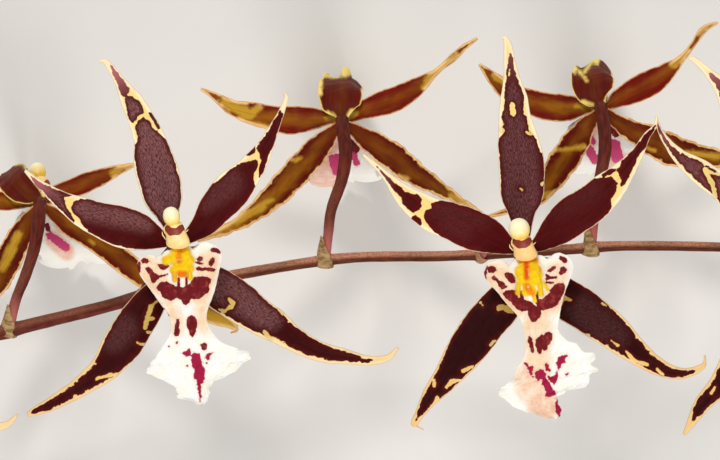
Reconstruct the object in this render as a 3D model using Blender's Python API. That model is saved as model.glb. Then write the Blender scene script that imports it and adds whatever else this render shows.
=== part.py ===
"""A cut spray of a cambria orchid, lying on a flat surface.

The stem runs along X with its cut end at -X. Its flowers stand off it in Y and Z: four show
their faces upwards (+Z) and three hang face down below the stem. The spray touches the surface
z = 0 at three low points: the cut end of the stem, its far tip and the dorsal sepal of flower 4.

The numbers in the tables are millimetres. A flower's rows are measured from its own centre, and
each of them is one station on the way from the flower's centre to a tip.
"""

import math

import bmesh
import bpy
from mathutils import Vector

MM = 0.001

RIGHTWARDS = Vector((1.0, 0.0, 0.0))
AWAY = Vector((0.0, 1.0, 0.0))
UPWARDS = Vector((0.0, 0.0, 1.0))

BLADE_THICKNESS = 0.8
SMALLEST_HALF_WIDTH = 0.3
BLADE_CELLS_ALONG = 9
BLADE_CELLS_ACROSS = 4
LIP_CELLS_ACROSS = 8
RACHIS_STATIONS, RACHIS_SIDES = 44, 10
STALK_STATIONS, STALK_SIDES = 9, 8
BRACT_STATIONS, BRACT_SIDES = 4, 6
COLUMN_SIDES = 10

STEM_HEIGHT = 50.0
FACE_UP_HEIGHT = 78.0
FACE_DOWN_HEIGHT = 40.0
HUB_RADIUS = 1.7
HUB_BACK = 2.6
STALK_END_RADIUS = 1.45
TOUCH_GAP = 0.3

# How far the edges of a blade bend back from its face, as a share of its half width.
TEPAL_EDGE_BEND = 0.10
LIP_EDGE_LIFT = 0.9
LIP_RUFFLE = 0.7
LIP_RUFFLE_LENGTH = 9.0
CALLUS_HEIGHT = 2.2
CALLUS_CENTRE = 0.5
CALLUS_HALF_WIDTH = 3.2
CALLUS_MIDDLE = 6.0
CALLUS_HALF_LENGTH = 5.5

# name: colour, roughness, metallic
FINISHES = {
    "tepal": ((0.075, 0.012, 0.012, 1.0), 0.45, 0.0),
    "lip": ((0.93, 0.88, 0.74, 1.0), 0.5, 0.0),
    "column": ((0.90, 0.56, 0.22, 1.0), 0.5, 0.0),
    "cap": ((0.95, 0.88, 0.50, 1.0), 0.4, 0.0),
    "stem": ((0.23, 0.10, 0.06, 1.0), 0.55, 0.0),
}

# A sepal's or petal's row: x, y, height above the flower's centre plane, half width.
# The first row of each lies just outside the hub.
FLOWER_3 = {
    "dorsal_sepal": (
        (-0.5, 2.0, -0.9, 1.3),
        (-2.25, 7.0, -0.7, 2.9),
        (-3.25, 10.75, -0.4, 4.7),
        (-4.4, 15.75, 0.0, 5.25),
        (-5.75, 20.75, 0.6, 5.0),
        (-6.8, 25.75, 1.0, 3.9),
        (-8.9, 30.75, 1.0, 3.25),
        (-11.5, 35.75, 0.5, 2.6),
        (-14.6, 40.75, -0.6, 1.1),
        (-18.4, 45.4, -2.0, 0.5),
    ),
    "left_petal": (
        (-2.0, 0.3, 1.0, 1.3),
        (-5.75, 1.5, 1.6, 3.2),
        (-9.5, 2.75, 2.2, 4.75),
        (-14.5, 4.25, 2.8, 5.0),
        (-19.5, 6.0, 3.0, 4.25),
        (-24.5, 8.25, 2.6, 3.4),
        (-29.5, 11.25, 1.6, 2.0),
        (-34.5, 15.0, 0.0, 0.9),
        (-37.75, 18.0, -1.4, 0.4),
    ),
    "right_petal": (
        (2.0, 0.7, 1.0, 1.3),
        (6.75, 4.75, 1.7, 3.25),
        (9.75, 8.75, 2.2, 4.25),
        (13.0, 13.25, 2.6, 4.75),
        (17.0, 18.25, 2.6, 3.75),
        (21.0, 23.25, 2.0, 1.9),
        (24.0, 28.25, 1.0, 1.25),
        (26.25, 33.25, -0.6, 0.6),
        (27.0, 37.25, -2.2, 0.35),
    ),
    "left_sepal": (
        (-1.1, -1.8, -0.9, 1.2),
        (-4.5, -11.25, -1.2, 3.1),
        (-7.5, -15.75, -1.4, 4.25),
        (-11.0, -21.0, -1.4, 4.75),
        (-13.9, -25.5, -1.4, 4.75),
        (-18.25, -31.25, -1.8, 3.5),
        (-24.5, -36.0, -2.8, 2.4),
        (-30.75, -39.75, -4.4, 1.75),
        (-37.25, -42.75, -6.8, 0.4),
    ),
    "right_sepal": (
        (1.3, -1.6, -0.9, 1.2),
        (6.75, -8.25, -1.2, 4.0),
        (11.0, -11.75, -1.4, 5.1),
        (15.5, -14.75, -1.4, 5.0),
        (20.0, -18.0, -1.4, 4.5),
        (24.25, -20.5, -1.4, 4.0),
        (29.25, -24.0, -1.8, 3.0),
        (35.5, -27.0, -2.6, 2.5),
        (41.75, -28.25, -3.6, 1.9),
        (48.0, -29.25, -4.6, 1.1),
        (52.5, -28.5, -5.2, 0.6),
        (55.0, -26.0, -5.4, 0.35),
    ),
}

FLOWER_5 = {
    "dorsal_sepal": (
        (-0.3, 2.0, -0.9, 1.3),
        (-0.75, 8.75, -0.6, 3.25),
        (-0.75, 12.5, -0.3, 5.0),
        (-0.75, 17.5, 0.2, 5.6),
        (-1.0, 22.5, 0.7, 5.6),
        (-1.75, 27.5, 1.0, 5.0),
        (-2.5, 32.5, 1.0, 4.0),
        (-2.75, 37.5, 0.6, 3.4),
        (-3.25, 42.5, -0.3, 2.1),
        (-4.0, 47.5, -1.6, 1.25),
        (-5.0, 52.7, -3.2, 0.45),
    ),
    "left_petal": (
        (-2.0, 0.4, 1.0, 1.3),
        (-4.0, 1.0, 1.3, 2.2),
        (-8.5, 3.25, 2.0, 4.25),
        (-13.5, 5.25, 2.6, 5.0),
        (-18.5, 7.25, 2.9, 4.6),
        (-23.5, 9.0, 2.8, 4.1),
        (-27.25, 11.5, 2.4, 3.4),
        (-31.0, 14.5, 1.6, 2.25),
        (-34.75, 18.75, 0.4, 1.0),
        (-40.25, 23.75, -1.6, 0.4),
    ),
    "right_petal": (
        (2.0, 0.7, 1.0, 1.3),
        (3.75, 1.75, 1.3, 2.2),
        (7.75, 5.0, 1.9, 4.1),
        (11.5, 8.25, 2.4, 4.9),
        (16.0, 11.25, 2.8, 4.75),
        (20.25, 15.0, 2.8, 4.25),
        (24.5, 19.5, 2.2, 2.75),
        (27.75, 23.75, 1.0, 1.6),
        (30.25, 28.25, -0.6, 0.9),
        (32.75, 33.25, -2.6, 0.4),
    ),
    "left_sepal": (
        (-1.1, -1.8, -0.9, 1.2),
        (-2.75, -7.5, -1.1, 3.0),
        (-6.0, -13.75, -1.4, 4.9),
        (-9.75, -18.0, -1.4, 5.0),
        (-13.0, -22.5, -1.4, 5.0),
        (-16.5, -27.5, -1.6, 4.25),
        (-20.25, -32.5, -2.2, 3.1),
        (-23.5, -36.5, -3.2, 2.25),
        (-26.0, -40.5, -4.6, 1.1),
        (-28.0, -44.25, -6.0, 0.45),
    ),
    "right_sepal": (
        (1.3, -1.6, -0.9, 1.2),
        (5.25, -7.5, -1.2, 3.5),
        (9.75, -11.75, -1.4, 4.9),
        (14.0, -14.5, -1.4, 5.0),
        (18.25, -17.5, -1.4, 4.75),
        (22.75, -21.0, -1.4, 4.25),
        (27.0, -24.75, -1.6, 3.25),
        (31.5, -28.0, -2.2, 2.4),
        (36.0, -30.25, -3.0, 1.6),
        (40.25, -30.75, -3.8, 1.0),
        (44.6, -28.0, -4.6, 0.35),
    ),
}

FLOWER_7 = dict(FLOWER_5)
FLOWER_7["dorsal_sepal"] = (
    (-0.5, 2.0, -0.9, 1.3),
    (-4.0, 10.0, -0.5, 3.4),
    (-8.5, 19.0, 0.3, 5.2),
    (-13.0, 27.0, 1.0, 4.7),
    (-17.0, 33.0, 1.2, 3.4),
    (-20.0, 38.0, 0.8, 2.1),
    (-23.75, 42.0, 0.0, 1.0),
    (-28.0, 45.5, -1.2, 0.4),
)
FLOWER_7["left_petal"] = (
    (-2.0, 0.5, 1.0, 1.3),
    (-7.0, 3.0, 1.6, 4.0),
    (-13.0, 7.5, 2.2, 5.0),
    (-20.0, 13.0, 2.4, 3.4),
    (-26.5, 17.75, 0.8, 2.9),
    (-31.25, 21.5, -1.4, 1.0),
    (-36.25, 30.5, -6.0, 0.4),
)
FLOWER_7["left_sepal"] = (
    (-1.1, -1.8, -0.9, 1.2),
    (-4.0, -9.0, -1.2, 3.9),
    (-9.0, -18.5, -1.4, 5.0),
    (-14.5, -27.0, -1.6, 4.5),
    (-20.0, -35.25, -2.4, 2.8),
    (-25.0, -41.25, -3.8, 2.0),
    (-29.25, -48.5, -6.0, 0.4),
)

FLOWER_4 = {
    "dorsal_sepal": (
        (0.0, 2.0, 0.9, 1.3),
        (0.0, 5.0, 0.3, 3.2),
        (-0.4, 9.0, -4.5, 5.0),
        (-0.5, 11.5, -12.0, 5.3),
        (-0.5, 12.8, -20.0, 4.6),
        (-0.3, 12.6, -28.0, 3.6),
        (0.0, 11.4, -35.0, 2.8),
        (0.0, 8.8, -39.8, 2.2),
        (0.0, 5.6, -40.4, 1.8),
        (0.0, 2.6, -40.4, 1.2),
    ),
    "left_petal": (
        (-2.0, 0.4, -1.0, 1.2),
        (-4.0, 0.6, -1.3, 1.8),
        (-8.0, 0.5, -1.8, 3.0),
        (-13.0, 0.1, -2.2, 3.5),
        (-18.0, 0.75, -2.4, 3.1),
        (-23.0, 2.0, -2.2, 2.75),
        (-27.5, 3.25, -1.6, 2.0),
        (-31.75, 6.0, -0.4, 1.0),
        (-35.5, 8.0, 1.0, 0.4),
    ),
    "right_petal": (
        (2.0, 0.7, -1.0, 1.2),
        (5.0, 2.6, -1.4, 2.25),
        (9.0, 4.0, -1.8, 3.0),
        (13.25, 5.5, -2.2, 3.1),
        (17.5, 7.75, -2.4, 2.6),
        (21.25, 10.5, -2.2, 1.5),
        (24.5, 13.0, -1.8, 0.8),
        (28.25, 16.25, -1.2, 1.0),
        (30.75, 18.5, -0.6, 0.75),
        (34.0, 20.75, 0.4, 0.35),
    ),
    "left_sepal": (
        (-1.3, -1.6, 0.9, 1.2),
        (-5.5, -6.25, 0.6, 3.0),
        (-9.25, -10.5, 0.2, 3.5),
        (-13.0, -14.5, -0.2, 3.5),
        (-16.75, -18.5, -0.4, 3.25),
        (-21.0, -22.25, 0.0, 2.5),
        (-25.5, -25.5, 0.8, 1.75),
        (-31.0, -28.25, 2.0, 1.0),
        (-36.25, -30.25, 3.2, 0.4),
    ),
    "right_sepal": (
        (1.6, -1.3, 0.9, 1.2),
        (5.75, -4.25, 0.6, 2.5),
        (9.5, -6.75, 0.3, 3.25),
        (13.75, -9.75, 0.0, 3.5),
        (18.25, -13.25, -0.2, 3.0),
        (22.75, -16.0, 0.0, 2.25),
        (28.25, -19.25, 0.0, 1.25),
        (36.25, -24.0, -1.6, 0.4),
    ),
}

FLOWER_6 = {
    "dorsal_sepal": (
        (-0.2, 2.0, 0.9, 1.3),
        (-1.0, 4.8, 0.3, 3.4),
        (-1.5, 8.0, -4.5, 5.0),
        (-1.8, 10.2, -12.0, 5.4),
        (-1.8, 11.2, -20.0, 4.6),
        (-1.6, 10.6, -28.0, 3.2),
        (-1.5, 8.6, -34.0, 1.8),
        (-1.5, 5.6, -37.6, 0.6),
    ),
    "left_petal": (
        (-2.0, 0.2, -1.0, 1.2),
        (-4.0, 0.1, -1.3, 1.9),
        (-8.0, 0.0, -1.8, 3.2),
        (-13.0, 0.25, -2.2, 3.5),
        (-18.0, 1.75, -2.4, 3.0),
        (-22.5, 3.75, -2.0, 2.5),
        (-26.75, 7.25, -1.0, 1.7),
        (-30.5, 11.0, 0.4, 0.4),
    ),
    "right_petal": (
        (2.0, 0.6, -1.0, 1.2),
        (5.0, 2.6, -1.4, 2.4),
        (9.0, 4.5, -1.8, 3.2),
        (13.25, 6.75, -2.2, 3.2),
        (17.0, 9.25, -2.4, 2.25),
        (20.0, 12.0, -2.2, 1.1),
        (23.25, 15.75, -1.6, 0.65),
        (26.0, 19.75, -0.8, 0.9),
        (29.5, 21.5, 0.4, 0.35),
    ),
    "left_sepal": (
        (-1.2, -1.7, 0.9, 1.2),
        (-3.4, -4.4, 0.7, 2.3),
        (-6.0, -8.25, 0.4, 3.4),
        (-9.25, -13.25, 0.0, 3.75),
        (-12.25, -17.75, -0.2, 3.25),
        (-15.5, -22.0, 0.0, 2.25),
        (-20.5, -25.0, 0.8, 1.25),
        (-28.75, -27.5, 2.4, 0.4),
    ),
    "right_sepal": (
        (1.6, -1.3, 0.9, 1.2),
        (3.8, -3.2, 0.7, 1.8),
        (7.0, -5.25, 0.4, 2.5),
        (12.0, -7.75, 0.1, 3.5),
        (17.0, -10.25, -0.2, 4.0),
        (22.0, -11.75, -0.2, 3.5),
        (29.5, -12.75, 0.4, 2.25),
        (36.5, -14.5, 1.4, 1.3),
        (43.0, -17.0, 2.6, 0.4),
    ),
}

FLOWER_2 = {
    "dorsal_sepal": (
        (-0.2, 2.0, 0.9, 1.3),
        (-1.0, 4.6, 0.3, 3.0),
        (-3.2, 7.6, -4.5, 4.6),
        (-4.6, 9.4, -12.0, 4.8),
        (-5.0, 9.9, -20.0, 4.2),
        (-5.0, 9.2, -28.0, 3.0),
        (-5.0, 7.4, -34.0, 1.8),
        (-5.0, 4.6, -37.6, 0.6),
    ),
    "left_petal": (
        (-2.0, 0.2, -1.0, 1.2),
        (-4.5, 0.6, -1.3, 1.9),
        (-9.5, 0.5, -1.8, 2.4),
        (-16.0, 1.0, -2.2, 3.0),
        (-24.0, 3.0, -2.0, 2.4),
        (-31.0, 6.0, -0.8, 1.2),
        (-36.0, 8.5, 0.6, 0.4),
    ),
    "right_petal": (
        (2.0, 0.9, -1.0, 1.2),
        (4.0, 2.6, -1.3, 1.8),
        (9.25, 4.25, -1.8, 2.5),
        (14.25, 6.25, -2.0, 2.25),
        (18.75, 8.0, -1.6, 1.5),
        (24.5, 10.0, -0.2, 0.4),
    ),
    "left_sepal": (
        (-1.2, -1.7, 0.9, 1.2),
        (-4.0, -6.5, 0.5, 2.8),
        (-9.5, -16.75, 0.0, 3.6),
        (-14.0, -24.0, -0.2, 3.0),
        (-19.0, -32.0, 0.8, 1.8),
        (-25.0, -39.0, 2.6, 0.4),
    ),
    "right_sepal": (
        (1.6, -1.3, 0.9, 1.2),
        (4.2, -3.2, 0.7, 1.9),
        (8.0, -5.5, 0.4, 3.0),
        (14.25, -9.25, 0.0, 3.1),
        (20.5, -14.25, -0.2, 3.0),
        (26.0, -18.5, -0.2, 2.9),
        (32.0, -22.6, 0.2, 2.8),
        (38.5, -25.9, 1.0, 2.7),
        (43.5, -28.2, 2.0, 2.2),
        (47.6, -30.1, 3.0, 1.4),
        (49.6, -32.0, 3.6, 0.4),
    ),
}

# A lip's row: y, height above the flower's centre plane, left edge, right edge.
LIP_OF_3 = (
    (-2.5, 3.2, -3.25, 10.0),
    (-4.0, 3.6, -8.0, 11.25),
    (-5.5, 4.0, -9.75, 10.75),
    (-7.5, 4.3, -9.2, 10.3),
    (-10.5, 4.5, -7.0, 9.75),
    (-13.0, 4.5, -5.25, 9.0),
    (-15.5, 4.4, -3.5, 7.75),
    (-17.5, 4.4, -2.5, 7.25),
    (-19.5, 4.4, -1.5, 7.5),
    (-22.5, 4.4, -1.75, 9.0),
    (-25.0, 4.2, -2.5, 11.5),
    (-27.0, 4.0, -5.0, 17.0),
    (-29.0, 3.6, -6.25, 17.0),
    (-31.5, 3.0, -7.0, 15.0),
    (-34.0, 2.2, -3.5, 11.0),
    (-37.0, 0.9, 0.0, 8.0),
    (-39.0, -0.2, 2.0, 7.5),
    (-40.25, -1.2, 4.5, 6.5),
)
LIP_OF_5 = (
    (-2.5, 3.2, -6.0, 11.25),
    (-4.0, 3.6, -9.75, 11.75),
    (-6.5, 4.1, -10.25, 11.25),
    (-8.75, 4.4, -8.5, 10.25),
    (-11.25, 4.5, -6.0, 9.5),
    (-14.0, 4.4, -3.75, 9.0),
    (-16.5, 4.4, -1.75, 8.25),
    (-19.0, 4.4, -0.4, 8.0),
    (-21.25, 4.4, 0.0, 8.25),
    (-23.5, 4.3, -0.2, 12.0),
    (-25.5, 4.1, -0.6, 16.5),
    (-27.5, 3.8, -1.5, 17.0),
    (-30.0, 3.2, -2.75, 16.5),
    (-32.0, 2.6, -3.75, 15.5),
    (-34.0, 1.9, -5.75, 13.0),
    (-36.0, 1.1, -6.25, 9.75),
    (-38.5, 0.0, -3.0, 8.5),
    (-41.0, -1.4, 2.0, 9.0),
)
LIP_OF_4 = (
    (-2.4, -3.2, -4.5, 5.5),
    (-4.5, -3.8, -7.5, 8.5),
    (-7.0, -4.6, -8.5, 9.75),
    (-10.0, -6.0, -7.5, 9.0),
    (-12.5, -8.5, -5.5, 7.0),
    (-14.0, -11.5, -4.25, 5.5),
    (-15.0, -15.0, -4.5, 5.5),
    (-15.8, -18.5, -8.0, 9.0),
    (-16.2, -22.0, -9.5, 10.5),
    (-16.5, -25.5, -8.5, 9.5),
    (-16.8, -29.0, -6.0, 7.0),
    (-17.0, -32.5, -3.5, 4.0),
    (-17.0, -35.5, -1.0, 1.6),
)


def leaning_lip(rows, lean):
    """The same lip swung sideways: each row moves across by a share of its drop in y."""
    top = rows[0][0]
    return tuple((y, z, left + lean * (top - y), right + lean * (top - y)) for y, z, left, right in rows)


LIP_OF_2 = leaning_lip(LIP_OF_4, 0.6)

# A column's row: x, y, height towards the flower's face, radius.
COLUMN = (
    (0.0, 0.0, -HUB_BACK, HUB_RADIUS),
    (0.0, 0.0, 0.0, HUB_RADIUS),
    (0.0, 0.0, 2.2, 1.75),
    (0.0, 0.5, 4.0, 2.0),
    (-0.3, 2.2, 6.2, 2.5),
    (-0.8, 4.2, 7.7, 2.65),
    (-1.1, 5.3, 8.4, 2.1),
)
ANTHER_CAP = (
    (-1.18, 5.58, 8.58, 1.9),
    (-1.33, 6.13, 8.93, 2.45),
    (-1.57, 7.03, 9.5, 2.45),
    (-1.77, 7.77, 9.97, 1.7),
    (-1.86, 8.09, 10.18, 0.7),
)

# number: centre x and y, height, which way it faces, tepals, lip
FLOWERS = {
    1: (-140.5, -20.0, 68.0, 1, FLOWER_3, LIP_OF_3),
    2: (-80.5, 6.75, FACE_DOWN_HEIGHT, -1, FLOWER_2, LIP_OF_2),
    3: (-45.5, -3.25, FACE_UP_HEIGHT, 1, FLOWER_3, LIP_OF_3),
    4: (-4.5, 27.5, FACE_DOWN_HEIGHT, -1, FLOWER_4, LIP_OF_4),
    5: (41.0, -5.0, FACE_UP_HEIGHT, 1, FLOWER_5, LIP_OF_5),
    6: (60.5, 30.75, FACE_DOWN_HEIGHT, -1, FLOWER_6, LIP_OF_4),
    7: (110.0, -2.5, FACE_UP_HEIGHT - 1.0, 1, FLOWER_7, LIP_OF_5),
}

# The rachis from its cut end to its tip: x, y, z, radius.
RACHIS = (
    (-202.0, -66.0, 1.65, 1.75),
    (-190.0, -62.0, 1.65, 1.75),
    (-180.0, -58.5, 3.6, 1.75),
    (-167.0, -53.5, 13.0, 1.75),
    (-150.0, -46.8, 27.0, 1.75),
    (-130.0, -39.0, 40.5, 1.75),
    (-110.0, -31.8, 48.0, 1.72),
    (-90.0, -25.75, STEM_HEIGHT, 1.7),
    (-65.0, -19.5, STEM_HEIGHT, 1.6),
    (-45.5, -14.25, STEM_HEIGHT, 1.5),
    (-22.5, -9.75, STEM_HEIGHT, 1.35),
    (-2.5, -7.0, STEM_HEIGHT, 1.3),
    (22.5, -6.5, STEM_HEIGHT, 1.3),
    (50.0, -5.0, STEM_HEIGHT, 1.3),
    (65.0, -4.0, STEM_HEIGHT, 1.25),
    (90.0, -4.25, STEM_HEIGHT, 1.2),
    (108.0, -5.2, 47.5, 1.1),
    (123.0, -7.6, 39.0, 1.0),
    (135.0, -11.0, 25.0, 0.95),
    (144.0, -14.5, 9.0, 0.9),
    (151.0, -17.6, 1.1, 0.85),
    (159.0, -21.0, 0.75, 0.8),
)

# Each flower stalk from the rachis to just behind its hub: x, y, z, radius.
STALKS = {
    1: (
        (-128.0, -38.6, 41.5, 1.3),
        (-130.0, -34.0, 49.0, 1.3),
        (-135.0, -26.5, 58.0, 1.5),
        (-139.8, -21.0, 63.0, 1.55),
    ),
    2: (
        (-88.0, -24.8, 50.0, 1.3),
        (-86.25, -17.5, 52.5, 1.3),
        (-83.75, -11.25, 53.5, 1.4),
        (-81.5, -4.0, 52.5, 1.5),
        (-80.6, 2.5, 49.0, 1.6),
        (-80.5, 6.0, 45.0, 1.55),
    ),
    3: (
        (-55.0, -17.0, 50.0, 1.2),
        (-53.0, -13.5, 57.0, 1.3),
        (-49.2, -8.0, 66.0, 1.5),
        (-46.0, -4.0, 73.0, 1.55),
    ),
    4: (
        (-8.75, -7.4, 50.0, 1.25),
        (-8.0, -1.25, 52.5, 1.25),
        (-7.2, 5.0, 53.8, 1.35),
        (-4.6, 12.5, 54.0, 1.5),
        (-3.6, 19.0, 51.5, 1.65),
        (-4.2, 24.5, 47.5, 1.65),
        (-4.5, 26.9, 44.6, 1.55),
    ),
    5: (
        (30.5, -6.3, 50.0, 1.2),
        (31.2, -4.0, 57.0, 1.3),
        (35.0, -3.2, 66.0, 1.5),
        (40.2, -4.6, 73.0, 1.55),
    ),
    6: (
        (58.0, -4.5, 50.0, 1.25),
        (58.6, 3.0, 52.8, 1.3),
        (60.0, 12.0, 54.0, 1.45),
        (61.4, 20.0, 52.0, 1.6),
        (61.2, 26.5, 48.0, 1.6),
        (60.6, 30.0, 44.8, 1.55),
    ),
    7: (
        (98.0, -4.6, 49.6, 1.2),
        (98.8, -3.2, 57.0, 1.3),
        (103.0, -2.2, 66.0, 1.5),
        (109.0, -2.3, 72.0, 1.55),
    ),
}

# A bract's row: how far up its stalk, how far out from it, radius.
BRACT = (
    (0.0, 0.4, 1.4),
    (2.6, 1.5, 1.5),
    (6.0, 2.4, 0.35),
)
BRACT_LEAN = (-1.0, -0.25, 0.0)

# The middle of the whole spray in the tables' own frame. It goes to the origin at the end.
SPRAY_MIDDLE = (-21.6, -7.5)


def cleared_scene():
    for obj in list(bpy.data.objects):
        bpy.data.objects.remove(obj, do_unlink=True)


def finish(name):
    """A plain surface finish, made once for each kind of piece."""
    colour, roughness, metallic = FINISHES[name]
    material = bpy.data.materials.new(name)
    material.use_nodes = True
    shader = material.node_tree.nodes["Principled BSDF"]
    shader.inputs["Base Color"].default_value = colour
    shader.inputs["Roughness"].default_value = roughness
    shader.inputs["Metallic"].default_value = metallic
    return material


def smooth_rows(rows, count):
    """Rows read at even steps along one smooth curve through the given rows."""
    along = [0.0]
    for before, after in zip(rows, rows[1:]):
        along.append(along[-1] + math.dist(before[:3], after[:3]))
    last = len(rows) - 1
    slopes = []
    for i in range(len(rows)):
        low, high = max(i - 1, 0), min(i + 1, last)
        span = along[high] - along[low]
        slopes.append([(b - a) / span for a, b in zip(rows[low], rows[high])])
    found = []
    cell = 0
    for step in range(count):
        place = along[-1] * step / (count - 1)
        while cell < last - 1 and place > along[cell + 1]:
            cell += 1
        length = along[cell + 1] - along[cell]
        t = (place - along[cell]) / length
        start = 2 * t**3 - 3 * t**2 + 1
        leave = (t**3 - 2 * t**2 + t) * length
        arrive = (t**3 - t**2) * length
        found.append([
            start * a + leave * da + (1 - start) * b + arrive * db
            for a, da, b, db in zip(rows[cell], slopes[cell], rows[cell + 1], slopes[cell + 1])
        ])
    return found


def tangents(points):
    last = len(points) - 1
    return [(points[min(i + 1, last)] - points[max(i - 1, 0)]).normalized() for i in range(len(points))]


def carried_sides(points, first_side):
    """One crosswise direction for each point, turning as little as it can along the way."""
    sides = []
    side = first_side
    for along in tangents(points):
        side = (side - along * side.dot(along)).normalized()
        sides.append(side)
    return sides


def in_metres(point):
    """A point in metres, lifted so that a blade's lower face is never below the surface z = 0."""
    return Vector((point.x, point.y, max(point.z, BLADE_THICKNESS / 2))) * MM


def node(name, mesh, material):
    obj = bpy.data.objects.new(name, mesh)
    bpy.context.collection.objects.link(obj)
    obj.data.materials.append(material)
    return obj


def sheet(name, grid, material):
    """A thin blade: a grid of points along and across, split into triangles and given its thickness."""
    form = bmesh.new()
    rows = [[form.verts.new(in_metres(point)) for point in row] for row in grid]
    across = len(grid[0]) - 1
    for near, far in zip(rows, rows[1:]):
        for i in range(across):
            if i < across / 2:
                form.faces.new((near[i], near[i + 1], far[i]))
                form.faces.new((near[i + 1], far[i + 1], far[i]))
            else:
                form.faces.new((near[i], near[i + 1], far[i + 1]))
                form.faces.new((near[i], far[i + 1], far[i]))
    mesh = bpy.data.meshes.new(name)
    form.to_mesh(mesh)
    form.free()
    mesh.shade_smooth()
    obj = node(name, mesh, material)
    thickness = obj.modifiers.new("thickness", "SOLIDIFY")
    thickness.thickness = BLADE_THICKNESS * MM
    thickness.offset = 0.0
    return obj


def tepal(name, centre, facing, rows, material):
    """A sepal or petal: a pointed blade along its row of stations, its edges bent a little back."""
    stations = smooth_rows(rows, BLADE_CELLS_ALONG + 1)
    points = [centre + Vector(station[:3]) for station in stations]
    face = Vector((0.0, 0.0, facing))
    ways = tangents(points)
    sides = carried_sides(points, ways[0].cross(face).normalized())
    grid = []
    for point, side, along, station in zip(points, sides, ways, stations):
        normal = side.cross(along)
        half = max(station[3], SMALLEST_HALF_WIDTH)
        row = []
        for i in range(BLADE_CELLS_ACROSS + 1):
            u = 2.0 * i / BLADE_CELLS_ACROSS - 1.0
            row.append(point + side * (u * half) - normal * (TEPAL_EDGE_BEND * half * u * u))
        grid.append(row)
    return sheet(name, grid, material)


def lip(name, centre, facing, rows, material):
    """The lip: side lobes, waist and ruffled middle lobe, with the callus raised at its foot."""
    path = [Vector((0.0, row[0], row[1])) for row in rows]
    length = 0.0
    grid = []
    for i, (row, along) in enumerate(zip(rows, tangents(path))):
        normal = RIGHTWARDS.cross(along)
        if normal.z * facing < 0:
            normal = -normal
        if i:
            length += (path[i] - path[i - 1]).length
        left, right = row[2], row[3]
        points = []
        for j in range(LIP_CELLS_ACROSS + 1):
            v = j / LIP_CELLS_ACROSS
            u = 2.0 * v - 1.0
            x = left + (right - left) * v
            lift = LIP_EDGE_LIFT * u * u
            lift += LIP_RUFFLE * abs(u) ** 3 * math.sin(math.tau * length / LIP_RUFFLE_LENGTH + math.pi * v)
            across = min(abs(x - CALLUS_CENTRE) / CALLUS_HALF_WIDTH, 1.0)
            lengthwise = min(abs(length - rows[0][0] - CALLUS_MIDDLE) / CALLUS_HALF_LENGTH, 1.0)
            lift += CALLUS_HEIGHT * math.cos(across * math.pi / 2) ** 2 * math.cos(lengthwise * math.pi / 2)
            points.append(centre + path[i] + Vector((x, 0.0, 0.0)) + normal * lift)
        grid.append(points)
    return sheet(name, grid, material)


def tube(name, rows, sides, first_side, material, square_end=None):
    """A closed round body along rows of x, y, z, radius. It lies flat where it meets the surface.

    square_end, where given, is the direction that its last face looks in.
    """
    form = bmesh.new()
    points = [Vector(row[:3]) for row in rows]
    ways = tangents(points)
    if square_end:
        ways[-1] = square_end
    rings = []
    for point, side, along, row in zip(points, carried_sides(points, first_side), ways, rows):
        side = (side - along * side.dot(along)).normalized()
        other = side.cross(along)
        ring = []
        for i in range(sides):
            angle = math.tau * (i + 0.5) / sides
            place = point + (side * math.cos(angle) + other * math.sin(angle)) * row[3]
            ring.append(form.verts.new(Vector((place.x, place.y, max(place.z, 0.0))) * MM))
        rings.append(ring)
    for near, far in zip(rings, rings[1:]):
        for i in range(sides):
            j = (i + 1) % sides
            form.faces.new((near[i], far[i], far[j], near[j]))
    form.faces.new(rings[0])
    form.faces.new(reversed(rings[-1]))
    bmesh.ops.recalc_face_normals(form, faces=form.faces)
    mesh = bpy.data.meshes.new(name)
    form.to_mesh(mesh)
    form.free()
    mesh.shade_smooth()
    return node(name, mesh, material)


def column(name, centre, facing, rows, material):
    placed = [(centre.x + x, centre.y + y, centre.z + facing * z, radius) for x, y, z, radius in rows]
    return tube(name, placed, COLUMN_SIDES, RIGHTWARDS, material)


def bract_rows(stalk):
    """A short scale at the foot of a flower stalk, on the side of the stem's cut end."""
    foot = Vector(stalk[0][:3])
    up = (Vector(stalk[1][:3]) - foot).normalized()
    out = Vector(BRACT_LEAN)
    return tuple((*(foot + up * rise + out * lean), radius) for rise, lean, radius in BRACT)


def fused(name, pieces):
    """One closed body from the pieces, joined by a Boolean union and applied."""
    first, rest = pieces[0], pieces[1:]
    group = bpy.data.collections.new(name + "_pieces")
    bpy.context.scene.collection.children.link(group)
    for piece in rest:
        bpy.context.collection.objects.unlink(piece)
        group.objects.link(piece)
    union = first.modifiers.new("union", "BOOLEAN")
    union.operation = "UNION"
    union.operand_type = "COLLECTION"
    union.collection = group
    union.solver = "EXACT"
    bpy.context.view_layer.objects.active = first
    bpy.ops.object.modifier_apply(modifier=union.name)
    for piece in rest:
        bpy.data.objects.remove(piece, do_unlink=True)
    bpy.data.collections.remove(group)
    first.name = name
    return first


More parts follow.
